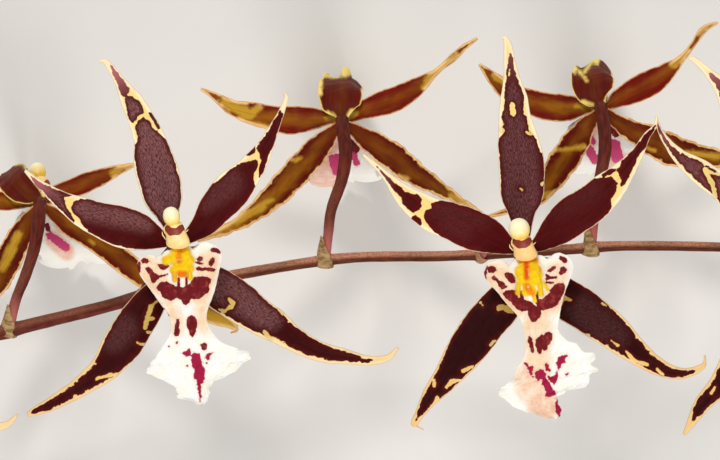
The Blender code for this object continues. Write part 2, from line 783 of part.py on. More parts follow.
def build():
    cleared_scene()
    finishes = {name: finish(name) for name in FINISHES}

    bark = finishes["stem"]
    pieces = [tube("rachis", smooth_rows(RACHIS, RACHIS_STATIONS), RACHIS_SIDES, UPWARDS, bark)]
    for number, stalk in STALKS.items():
        x, y, height, facing = FLOWERS[number][:4]
        end = (x, y, height - facing * (HUB_BACK + TOUCH_GAP), STALK_END_RADIUS)
        rows = smooth_rows(stalk + (end,), STALK_STATIONS)
        pieces.append(tube(f"stalk_{number}", rows, STALK_SIDES, RIGHTWARDS, bark, UPWARDS * facing))
        rows = smooth_rows(bract_rows(stalk), BRACT_STATIONS)
        pieces.append(tube(f"bract_{number}", rows, BRACT_SIDES, AWAY, bark))
    fused("stem", pieces)

    for number, (x, y, height, facing, tepals, lip_rows) in FLOWERS.items():
        centre = Vector((x, y, height))
        for part, rows in tepals.items():
            tepal(f"flower_{number}_{part}", centre, facing, rows, finishes["tepal"])
        lip(f"flower_{number}_lip", centre, facing, lip_rows, finishes["lip"])
        column(f"flower_{number}_column", centre, facing, COLUMN, finishes["column"])
        column(f"flower_{number}_anther_cap", centre, facing, ANTHER_CAP, finishes["cap"])

    for obj in bpy.context.scene.objects:
        obj.location = (-SPRAY_MIDDLE[0] * MM, -SPRAY_MIDDLE[1] * MM, 0.0)


build()
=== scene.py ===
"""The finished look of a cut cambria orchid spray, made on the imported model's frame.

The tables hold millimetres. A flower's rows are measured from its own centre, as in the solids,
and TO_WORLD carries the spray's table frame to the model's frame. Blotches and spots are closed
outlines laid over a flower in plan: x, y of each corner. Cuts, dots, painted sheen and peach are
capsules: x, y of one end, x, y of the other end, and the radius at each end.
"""

import math

import bmesh
import bpy
import numpy as np
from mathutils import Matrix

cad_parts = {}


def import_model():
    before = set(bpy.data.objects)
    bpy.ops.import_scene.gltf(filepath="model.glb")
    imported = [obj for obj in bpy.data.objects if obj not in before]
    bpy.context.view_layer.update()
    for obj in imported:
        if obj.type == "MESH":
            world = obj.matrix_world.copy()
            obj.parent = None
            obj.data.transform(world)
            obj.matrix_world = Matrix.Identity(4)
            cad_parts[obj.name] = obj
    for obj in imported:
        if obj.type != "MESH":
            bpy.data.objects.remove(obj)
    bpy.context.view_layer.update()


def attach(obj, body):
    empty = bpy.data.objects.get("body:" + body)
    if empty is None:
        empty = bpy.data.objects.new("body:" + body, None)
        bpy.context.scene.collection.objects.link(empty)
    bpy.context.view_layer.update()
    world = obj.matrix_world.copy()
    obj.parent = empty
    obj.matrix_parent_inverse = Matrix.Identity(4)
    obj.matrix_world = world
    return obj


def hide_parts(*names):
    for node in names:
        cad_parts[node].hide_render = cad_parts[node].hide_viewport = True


MM = 0.001
TO_WORLD = np.array((21.6, 7.5, 0.0))

# The photograph shows 180 mm across its 720 pixels, seen from straight above.
PHOTO_WIDTH = 180.0 * MM
SENSOR_WIDTH = 36.0
PHOTO_PLANE = 60.0 * MM
CAMERA_DISTANCE = 3.0

FACE_UP_HEIGHT = 78.0
FACE_DOWN_HEIGHT = 40.0
STEM_HEIGHT = 50.0
HUB_BACK = 2.6

# Stations along a tepal or lip and cells across it: the whole front flowers are the finest.
TEPAL_DETAIL = {
    3: (170, 34), 5: (170, 34), 1: (90, 22), 7: (110, 24), 2: (100, 22), 4: (110, 24), 6: (110, 24),
}
LIP_DETAIL = {1: (90, 56), 3: (190, 116), 5: (190, 116), 7: (90, 56)}
BACK_LIP_DETAIL = (96, 60)
BRACT_DETAIL = (26, 24)
# Rings along a round piece and points round each.
COLUMN_RINGS = 44
COLUMN_SIDES = 32
RIM_RINGS = 18
RIM_SIDES = 10
CAP_RINGS = 28
CAP_SIDES = 36
RACHIS_RINGS = 430
RACHIS_SIDES = 28
STALK_RINGS = 80
STALK_SIDES = 24

TEPAL_EDGE_BEND = 0.10
TEPAL_MIDDLE_THICKNESS = 0.75
TEPAL_EDGE_THICKNESS = 0.28
LEAST_HALF_WIDTH = 0.18
GROOVE_WIDTH = 0.55
GROOVE_DEPTH = 0.22
KEEL_HEIGHT = 0.18
FLOOR_CLEARANCE = 0.4
# How far apart the waves of a tepal's edge are, where it waves a little and where it waves much.
CALM_PITCH = 9.0
WAVY_PITCH = 6.0
# A hanging tepal starts further in: its first row's place and half width are these shares of the next row's.
FOOT_PLACE = 0.35
FOOT_WIDTH = 0.8
FOOT_RISE = 0.5
# The horn at one edge of a hanging dorsal sepal, as a share of its half width.
HORN_WIDTH = 0.35
# A lip's sheet at its edge, and how much thicker it is along its middle.
LIP_EDGE_THICKNESS = 0.30
LIP_BELLY = 0.45
BRACT_THICKNESS = 0.25

# Each irregular wave is the sum of three: how many to a unit of length, and the share of each.
WAVE_PITCHES = (1, 2.3, 4.1)
WAVE_SHARES = (0.55, 0.3, 0.15)
# How far away a capsule or an outline counts as where there is none.
FAR = 50.0

# The cream borders in the tables are this much too wide, by the blur of the photograph.
MARGIN_BLUR = 0.33
LEAST_MARGIN = 0.08
# How far a blotch reaches past its outline, and how far the painted sheen and peach fade out past their
# capsules.
OUTLINE_GAIN = 0.12
PAINTED_SHEEN_FADE = 4.0
PEACH_FADE = 3.0
# The rosy part of a lip lies below this place on it.
ROSY_TOP = -28.0

# How far the bumps of each finish stand proud, in metres.
TEPAL_BUMP = 0.00014
LIP_BUMP = 0.0003
COLUMN_BUMP = 0.0001
CAP_BUMP = 0.00008
STEM_BUMP = 0.00012
FLOOR_BUMP = 0.0002

# The studio, in metres and watts.
FLOOR_REACH = 2.5
LIGHT_POWER = 26.0
LIGHT_TARGET = (0.02, 0, 0.05)

# A sepal's or petal's row: x, y, height above the flower's centre plane, half width.
FLOWER_3 = {
    "dorsal_sepal": (
        (-0.5, 2, -0.9, 1.3), (-2.25, 7, -0.7, 2.9), (-3.25, 10.75, -0.4, 4.7), (-4.4, 15.75, 0, 5.25),
        (-5.75, 20.75, 0.6, 5), (-6.8, 25.75, 1, 3.9), (-8.9, 30.75, 1, 3.25), (-11.5, 35.75, 0.5, 2.6),
        (-14.6, 40.75, -0.6, 1.25), (-17.2, 44.6, -1.7, 0.75), (-18.4, 45.4, -2.1, 0.5),
        (-19.3, 44.95, -2.3, 0.25),
    ),
    "left_petal": (
        (-2, 0.3, 1, 1.3), (-5.75, 1.5, 1.6, 3.2), (-9.5, 2.75, 2.2, 4.75), (-14.5, 4.25, 2.8, 5),
        (-19.5, 6, 3, 4.25), (-24.5, 8.25, 2.6, 3.4), (-29.5, 11.25, 1.6, 2), (-34.5, 15, 0, 0.9),
        (-37.75, 18, -1.4, 0.35),
    ),
    "right_petal": (
        (2, 0.7, 1, 1.3), (6.75, 4.75, 1.7, 3.25), (9.75, 8.75, 2.2, 4.25), (13.4, 12.9, 2.6, 4.75),
        (17.7, 17.7, 2.6, 3.55), (21.4, 22.95, 2, 2.3), (24, 28.25, 1, 1.25), (26.25, 33.25, -0.6, 0.7),
        (27.2, 36.2, -1.6, 0.45), (26.9, 37.3, -2.2, 0.3),
    ),
    "left_sepal": (
        (-1.1, -1.8, -0.9, 1.2), (-4.5, -11.25, -1.2, 3.1), (-7.5, -15.75, -1.4, 4.25),
        (-11, -21, -1.4, 4.75), (-13.9, -25.5, -1.4, 4.75), (-18.25, -31.25, -1.8, 3.5),
        (-24.5, -36, -2.8, 2.4), (-30.75, -39.75, -4.4, 1.75), (-35.4, -41.9, -6.1, 1.1),
        (-37.25, -42.75, -6.8, 0.55),
    ),
    "right_sepal": (
        (1.3, -1.6, -0.9, 1.2), (6.75, -8.25, -1.2, 4), (11, -11.75, -1.4, 5.1), (15.5, -14.75, -1.4, 5),
        (20, -18, -1.4, 4.5), (24.25, -20.5, -1.4, 4), (29.25, -24, -1.8, 3), (35.5, -27, -2.6, 2.5),
        (41.75, -28.25, -3.6, 1.9), (48, -29.25, -4.6, 1.1), (52.5, -28.5, -5.2, 0.8),
        (55, -26, -5.4, 0.25),
    ),
}

FLOWER_5 = {
    "dorsal_sepal": (
        (-0.3, 2, -0.9, 1.3), (-0.75, 8.75, -0.6, 3.25), (-0.75, 12.5, -0.3, 5), (-0.75, 17.5, 0.2, 5.6),
        (-1, 22.5, 0.7, 5.6), (-1.75, 27.5, 1, 5), (-2.5, 32.5, 1, 4), (-2.75, 37.5, 0.6, 3.4),
        (-3.25, 42.5, -0.3, 2.1), (-3.9, 47.5, -1.6, 1.35), (-4.3, 51.4, -2.8, 0.9), (-5, 52.9, -3.2, 0.45),
        (-5.8, 52.7, -3.4, 0.25),
    ),
    "left_petal": (
        (-2, 0.4, 1, 1.3), (-4, 1, 1.3, 2.2), (-8.5, 3.25, 2, 4.25), (-13.5, 5.25, 2.6, 5),
        (-18.5, 7.25, 2.9, 4.6), (-23.5, 9, 2.8, 4.1), (-27.25, 11.5, 2.4, 3.4), (-31, 14.5, 1.6, 2.25),
        (-34.75, 18.75, 0.4, 1), (-40.25, 23.75, -1.6, 0.3),
    ),
    "right_petal": (
        (2, 0.7, 1, 1.3), (3.75, 1.75, 1.3, 2.2), (7.75, 5, 1.9, 4.1), (11.5, 8.25, 2.4, 4.9),
        (16, 11.25, 2.8, 4.75), (20.25, 15, 2.8, 4.25), (24.5, 19.5, 2.2, 2.75), (27.75, 23.75, 1, 1.6),
        (30.25, 28.25, -0.6, 0.9), (32.4, 31, -2, 0.45), (32.8, 33.3, -2.6, 0.25),
    ),
    "left_sepal": (
        (-1.1, -1.8, -0.9, 1.2), (-2.75, -7.5, -1.1, 3), (-6, -13.75, -1.4, 4.9), (-9.75, -18, -1.4, 5),
        (-13, -22.5, -1.4, 5), (-16.5, -27.5, -1.6, 4.25), (-20.25, -32.5, -2.2, 3.1),
        (-23.5, -36.5, -3.2, 2.25), (-26, -40.5, -4.6, 1.2), (-27.6, -43.6, -5.8, 0.8),
        (-26.9, -43.9, -6.2, 0.3), (-25.2, -44.7, -6.4, 0.22),
    ),
    "right_sepal": (
        (1.3, -1.6, -0.9, 1.2), (5.25, -7.5, -1.2, 3.5), (9.75, -11.75, -1.4, 4.9), (14, -14.5, -1.4, 5),
        (18.25, -17.5, -1.4, 4.75), (22.75, -21, -1.4, 4.25), (27, -24.75, -1.6, 3.25),
        (31.5, -28, -2.2, 2.4), (36, -30.25, -3, 1.75), (40.25, -30.6, -3.8, 1.2), (44.4, -28.9, -4.6, 0.7),
        (44.9, -27.4, -4.8, 0.28), (44.8, -26.2, -4.9, 0.22),
    ),
}

FLOWER_7 = dict(FLOWER_5)
FLOWER_7["dorsal_sepal"] = (
    (-0.5, 2, -0.9, 1.3), (-4, 10, -0.5, 3.4), (-8.5, 19, 0.3, 5.2), (-13, 27, 1, 4.7), (-17, 33, 1.2, 3.4),
    (-20, 38, 0.8, 2.1), (-23.75, 42, 0, 1), (-27.4, 45.2, -1.1, 0.6), (-28.4, 45, -1.3, 0.25),
)
FLOWER_7["left_petal"] = (
    (-2, 0.5, 1, 1.3), (-7, 3, 1.6, 4), (-13, 7.5, 2.2, 5), (-20, 13, 2.4, 3.4), (-26.5, 17.75, 0.8, 2.9),
    (-31.25, 21.5, -1.4, 1.6), (-35, 26.6, -4, 0.7), (-36.25, 30.5, -6, 0.25),
)
FLOWER_7["left_sepal"] = (
    (-1.1, -1.8, -0.9, 1.2), (-4, -9, -1.2, 3.9), (-9, -18.5, -1.4, 5), (-14.5, -27, -1.6, 4.5),
    (-20, -35.25, -2.4, 2.8), (-25, -41.25, -3.8, 2), (-29.25, -48.5, -6, 0.4),
)

FLOWER_4 = {
    "dorsal_sepal": (
        (0, 1, 0.9, 1.7), (-0.2, 2.2, 0.7, 3.3), (-0.4, 3.3, 0.4, 4.7), (-0.4, 5.2, -0.6, 5.3),
        (-0.5, 7.2, -2.6, 5.5), (-0.6, 9, -6, 5.3), (-0.7, 10.2, -11, 5), (-0.6, 11, -17, 4.6),
        (0.3, 13.3, -25, 4.9), (0.3, 12.4, -34, 3.4), (0, 8.8, -39.8, 2.2), (0, 5.6, -40.4, 1.8),
        (0, 2.6, -40.4, 0.9),
    ),
    "left_petal": (
        (-2, 0.4, -1, 1.2), (-4, 0.6, -1.3, 1.8), (-8, 0.5, -1.8, 3), (-13, 0.1, -2.2, 3.5),
        (-18, 0.75, -2.4, 3.1), (-23, 2, -2.2, 2.75), (-27.5, 3.25, -1.6, 2), (-31.75, 6, -0.4, 1),
        (-35.5, 8, 1, 0.3),
    ),
    "right_petal": (
        (2, 0.7, -1, 1.2), (5, 2.6, -1.4, 2.25), (9, 4, -1.8, 3), (13.25, 5.5, -2.2, 3.1),
        (17.5, 7.75, -2.4, 2.6), (21.25, 10.5, -2.2, 1.5), (24.5, 13, -1.8, 0.7), (28.25, 16.25, -1.2, 1),
        (30.75, 18.5, -0.6, 0.75), (34, 20.75, 0.4, 0.3),
    ),
    "left_sepal": (
        (-1.3, -1.6, 0.9, 1.2), (-5.5, -6.25, 0.6, 3), (-9.25, -10.5, 0.2, 3.5), (-13, -14.5, -0.2, 3.5),
        (-16.75, -18.5, -0.4, 3.25), (-21, -22.25, 0, 2.5), (-25.5, -25.5, 0.8, 1.75), (-31, -28.25, 2, 1),
        (-36.25, -30.25, 3.2, 0.3),
    ),
    "right_sepal": (
        (1.6, -1.3, 0.9, 1.2), (5.75, -4.25, 0.6, 2.5), (9.5, -6.75, 0.3, 3.25), (13.75, -9.75, 0, 3.5),
        (18.25, -13.25, -0.2, 3), (22.75, -16, 0, 2.25), (28.25, -19.25, 0, 1.25), (36.25, -24, -1.6, 0.3),
    ),
}

FLOWER_6 = {
    "dorsal_sepal": (
        (-0.3, 1, 0.9, 1.7), (-1, 2.1, 0.7, 3.2), (-1.5, 3.3, 0.4, 4.5), (-1.8, 5.2, -0.6, 5.2),
        (-1.9, 7.2, -2.6, 5.4), (-2, 9, -6, 5.2), (-2.1, 10.1, -11, 4.9), (-2, 10.7, -17, 4.4),
        (-1, 12.1, -25, 4.7), (-1.5, 8.6, -34, 1.8), (-1.5, 5.6, -37.6, 0.6),
    ),
    "left_petal": (
        (-2, 0.2, -1, 1.2), (-4, 0.1, -1.3, 1.9), (-8, 0, -1.8, 3.2), (-13, 0.25, -2.2, 3.5),
        (-18, 1.75, -2.4, 3), (-22.5, 3.75, -2, 2.5), (-26.75, 7.25, -1, 1.7), (-30.5, 11, 0.4, 0.3),
    ),
    "right_petal": (
        (2, 0.6, -1, 1.2), (5, 2.6, -1.4, 2.4), (9, 4.5, -1.8, 3.2), (13.25, 6.75, -2.2, 3.2),
        (17, 9.25, -2.4, 2.25), (20, 12, -2.2, 1.1), (23.25, 15.75, -1.6, 0.65), (26, 19.75, -0.8, 0.9),
        (29.5, 21.5, 0.4, 0.3),
    ),
    "left_sepal": (
        (-1.2, -1.7, 0.9, 1.2), (-3.4, -4.4, 0.7, 2.3), (-6, -8.25, 0.4, 3.4), (-9.25, -13.25, 0, 3.75),
        (-12.25, -17.75, -0.2, 3.25), (-15.5, -22, 0, 2.25), (-20.5, -25, 0.8, 1.25),
        (-28.75, -27.5, 2.4, 0.3),
    ),
    "right_sepal": (
        (1.6, -1.3, 0.9, 1.2), (3.8, -3.2, 0.7, 1.8), (7, -5.25, 0.4, 2.5), (12, -7.75, 0.1, 3.5),
        (17, -10.25, -0.2, 4), (22, -11.75, -0.2, 3.5), (29.5, -12.75, 0.4, 2.25), (36.5, -14.5, 1.4, 1.3),
        (43, -17, 2.6, 0.3),
    ),
}

FLOWER_2 = {
    "dorsal_sepal": (
        (-0.8, 1.2, 0.9, 1.7), (-2.6, 2.4, 0.7, 3.1), (-4.4, 3.9, 0.2, 4.3), (-6, 5.8, -2, 4.6),
        (-6.9, 7.4, -6, 4.5), (-7.1, 8.6, -12, 4.2), (-6.8, 9, -20, 3.8), (-6, 8.8, -28, 2.9),
        (-5, 7.4, -34, 1.8), (-5, 4.6, -37.6, 0.6),
    ),
    "left_petal": (
        (-2, 0.2, -1, 1.2), (-4.5, 0.6, -1.3, 1.9), (-9.5, 0.5, -1.8, 2.4), (-16, 1, -2.2, 3),
        (-24, 3, -2, 2.4), (-31, 6, -0.8, 1.2), (-36, 8.5, 0.6, 0.3),
    ),
    "right_petal": (
        (2, 0.9, -1, 1.2), (4, 2.6, -1.3, 1.8), (9.25, 4.25, -1.8, 2.5), (14.25, 6.25, -2, 2.25),
        (18.75, 8, -1.6, 1.5), (24.5, 10, -0.2, 0.3),
    ),
    "left_sepal": (
        (-1.2, -1.7, 0.9, 1.2), (-4, -6.5, 0.5, 2.8), (-9.5, -16.75, 0, 3.6), (-14, -24, -0.2, 3),
        (-19, -32, 0.8, 1.8), (-25, -39, 2.6, 0.3),
    ),
    "right_sepal": (
        (1.6, -1.3, 0.9, 1.2), (4.2, -3.2, 0.7, 1.9), (8, -5.5, 0.4, 3), (14.25, -9.25, 0, 3.1),
        (20.5, -14.25, -0.2, 3), (26, -18.5, -0.2, 2.9), (32, -22.6, 0.2, 2.8), (38.5, -25.9, 1, 2.7),
        (43.5, -28.2, 2, 2.2), (47.6, -30.1, 3, 1.4), (49.6, -32, 3.6, 0.4), (48, -32.6, 3.6, 0.25),
    ),
}

# How a tepal is painted.
# margins: place along it from 0 to 1, then the cream border's width at its left and right edge,
#   looking from its foot to its tip.
# blotches: outlines of its dark blotches. cuts: cream capsules in them. painted_sheen: capsules where a grey
# sheen, a painted highlight, lies on them.
# tone: 0 is nearly black maroon, 1 is red. painted_tip_sheen: how strongly a pink sheen, a painted highlight,
# lies on its tip's blotches.
# wave: how much its edges wave, in millimetres.
# gilding: how gold it is at its foot and at its tip, on a face its margins, on a back its midline and clouds.
PLAIN_BACK = ((0, 0.3, 0.3), (0.3, 0.35, 0.35), (0.6, 0.45, 0.45), (0.85, 0.6, 0.6), (1, 0.7, 0.7))


def face_paint(margins, blotches=(), cuts=(), painted_sheen=(), painted_sheen_strength=0, tone=0.5, painted_tip_sheen=0, gilding=(0, 0)):
    """The paint of a tepal that is seen from its face."""
    return {
        "margins": margins, "blotches": blotches, "cuts": cuts, "painted_sheen": painted_sheen,
        "painted_sheen_strength": painted_sheen_strength, "tone": tone, "painted_tip_sheen": painted_tip_sheen, "gilding": gilding,
        "wave": 0.22, "cup": (0, 0, 0), "knob": (0, 1, 2), "glow": 0,
    }


def back_paint(
    cuts, margins=PLAIN_BACK, tone=0.5, wave=0.35, cup=(0, 0, 0), gilding=(0.45, 0.6), knob=(-0.14, 0.25, 6)
):
    """The paint of a tepal that is seen from behind.

    cup: where it bends down, how far its left edge, its right edge and all but its middle draw back.
    knob: the place, half width and squareness of the part of it that does not draw back.
    """
    paint = face_paint(margins, cuts=cuts, tone=tone, gilding=gilding)
    # A hanging dorsal sepal's gold is painted brighter: painted light on its shaded knob and horn.
    paint.update(wave=wave, cup=cup, knob=knob, glow=0.85 if any(cup) else 0)
    return paint


PAINT_3 = {
    "dorsal_sepal": face_paint(
        (
            (0, 0.4, 0.3), (0.25, 0.7, 0.6), (0.4, 0.7, 0.6), (0.43, 0.3, 0.5), (0.6, 0.4, 0.4),
            (1, 0.5, 0.5),
        ),
        blotches=(
            (
                (-16.45, 44.05), (-15.15, 42.65), (-14.1, 41.35), (-12.6, 39.5), (-11.65, 38.3),
                (-12.1, 37.55), (-12.6, 36.95), (-13.05, 36.4), (-13.75, 36.85), (-14.2, 38.3),
                (-14.75, 39.9), (-15.4, 41.05), (-16.05, 42.5),
            ),
            (
                (-12.7, 36.5), (-11.05, 36.25), (-9.7, 35.4), (-8.65, 33.8), (-8.15, 32.45), (-8.95, 31.95),
                (-9.95, 31.5), (-10.1, 30.6), (-10.9, 30.05), (-11.85, 30.75), (-12.25, 32.5),
                (-12.65, 34.05), (-12.8, 35.4),
            ),
            (
                (-10.15, 28.8), (-9.7, 30.1), (-8.15, 31.1), (-6.8, 30.1), (-6, 28.55), (-4.7, 27.4),
                (-3.6, 26.65), (-2.4, 25.1), (0.55, 20.6), (4.25, 7.4), (-3.65, -5.75), (-14.2, 7.4),
                (-14.2, 19.05), (-11.6, 22.75), (-9.7, 24.95), (-9.7, 26.7),
            ),
            (
                (-6.9, 32.3), (-6.3, 32.45), (-5.4, 31.05), (-4.7, 29.6), (-4.05, 28.2), (-4.7, 28.3),
                (-5.8, 30.1),
            ),
        ),
        painted_sheen=((-2, 9.5, -7, 29.5, 3.4, 2.6), (-10.5, 34.5, -11.5, 32, 1.6, 1.6)), painted_sheen_strength=1,
        tone=0.35, painted_tip_sheen=1,
    ),
    "left_petal": face_paint(
        (
            (0, 0.2, 0.2), (0.2, 0.7, 0.3), (0.4, 0.6, 0.35), (0.55, 0.5, 0.4), (0.65, 0.6, 0.5),
            (1, 0.3, 0.35),
        ),
        blotches=(
            (
                (-36.2, 16.5), (-33.45, 14.65), (-31.5, 13.8), (-30.15, 13.25), (-27.95, 12.75),
                (-25.65, 12.2), (-26.4, 11.7), (-27.95, 11.5), (-28, 10.7), (-27.65, 9.75), (-26.75, 8.05),
                (-25.4, 5.45), (-25.7, 5.15), (-27.95, 7.45), (-30.7, 10.25), (-32.9, 12.45), (-35.1, 14.7),
            ),
            (
                (-26.1, 9.05), (-25.45, 10.15), (-24.05, 10.8), (-20.75, 11.15), (-16.9, 11.95),
                (2.45, 3.65), (-3.05, -10.15), (-19.65, -1.85), (-22.05, 3.3), (-23.15, 4.35),
                (-24.2, 6.15), (-25.45, 7.65),
            ),
        ),
        painted_sheen=((-24, 9.6, -8, 5.4, 1.4, 0.4), (-32, 13.25, -28.25, 9.5, 2, 2.2)), painted_sheen_strength=0.8,
        tone=0.6, painted_tip_sheen=0.9,
    ),
    "right_petal": face_paint(
        ((0, 0.2, 0.2), (0.3, 0.35, 0.25), (0.5, 0.4, 0.3), (0.6, 0.3, 0.3), (1, 0.3, 0.3)),
        blotches=(
            (
                (25.6, 32.65), (26.15, 32), (25.6, 29.3), (24.65, 26.7), (24.05, 24.15), (22.7, 21.95),
                (22.15, 20.35), (21.5, 17.75), (20.55, 16.45), (20.35, 18.75), (21.05, 20.35), (20.5, 21.6),
                (20, 23.55), (20.8, 25.1), (22.1, 26.7), (23.35, 28.95), (24.65, 31.2),
            ),
            ((19.2, 23.9), (19.6, 22.9), (18.55, 21.85), (17.3, 21.7), (17.6, 22.9)),
            (
                (3.55, 13.3), (9.95, 15.15), (14.4, 18.9), (16.35, 19.95), (18.1, 20.2), (19.55, 20.8),
                (20.1, 19.55), (19.7, 18.25), (19.05, 17.15), (18.95, 15.55), (19.45, 14.05), (18.9, 12.65),
                (17.6, 8.85), (9.95, -11.6), (-2.85, -2.05),
            ),
        ),
        painted_sheen=((6.75, 12, 12.5, 15, 2.4, 1.9),), painted_sheen_strength=0.3, tone=0.6,
    ),
    "left_sepal": face_paint(
        (
            (0, 0.3, 0.3), (0.3, 0.35, 0.35), (0.42, 0.4, 0.6), (0.5, 0.4, 0.9), (0.6, 1, 1.1),
            (0.68, 0.9, 1.2), (0.75, 1, 1.3), (0.8, 1.1, 1.2), (0.9, 0.7, 1), (0.97, 0.9, 0.9),
            (1, 1.5, 1.5),
        ),
        cuts=(
            (-4.75, -14.25, -6.5, -15.75, 0.4, 0.55), (-6.5, -15.75, -8, -21, 0.55, 0.6),
            (-7.25, -18.75, -6.25, -18.75, 0.45, 0.55), (-7.5, -22, -5, -23, 0.3, 0.38),
            (-9.75, -24.75, -6.75, -25.9, 0.3, 0.35), (-20, -33.75, -17.5, -33, 0.3, 0.4),
            (-17.5, -33, -13.25, -32.5, 0.4, 0.65), (-25.25, -38.25, -23.75, -39.25, 0.65, 0.55),
        ),
        painted_sheen=((-16, -23, -13.5, -21.25, 1.9, 1.6),), painted_sheen_strength=0.3, tone=0.25, gilding=(0.3, 0.55),
    ),
    "right_sepal": face_paint(
        (
            (0, 0.2, 0.3), (0.25, 0.3, 0.7), (0.35, 0.5, 0.9), (0.45, 0.7, 1.2), (0.5, 0.9, 1.8),
            (0.57, 0.5, 1.4), (0.68, 0.7, 1.3), (0.78, 0.9, 1.1), (0.87, 1.1, 0.9), (0.93, 2.5, 2.5),
            (1, 2.5, 2.5),
        ),
        cuts=(
            (13, -14, 14, -15, 0.42, 0.55), (13.9, -15.5, 12, -16.75, 0.47, 0.42),
            (12, -17, 10.5, -16.5, 0.35, 0.3), (25.25, -16.5, 26.25, -17.5, 0.35, 0.4),
            (29, -19.5, 30, -20.25, 0.33, 0.3), (21.75, -22.25, 23.25, -23.75, 0.5, 0.55),
            (38, -25, 43, -27, 0.38, 0.42),
        ),
        painted_sheen=((11.75, -10.5, 22.5, -18, 2.6, 1.6),), painted_sheen_strength=0.72, tone=0.3, gilding=(0.2, 0.35),
    ),
}
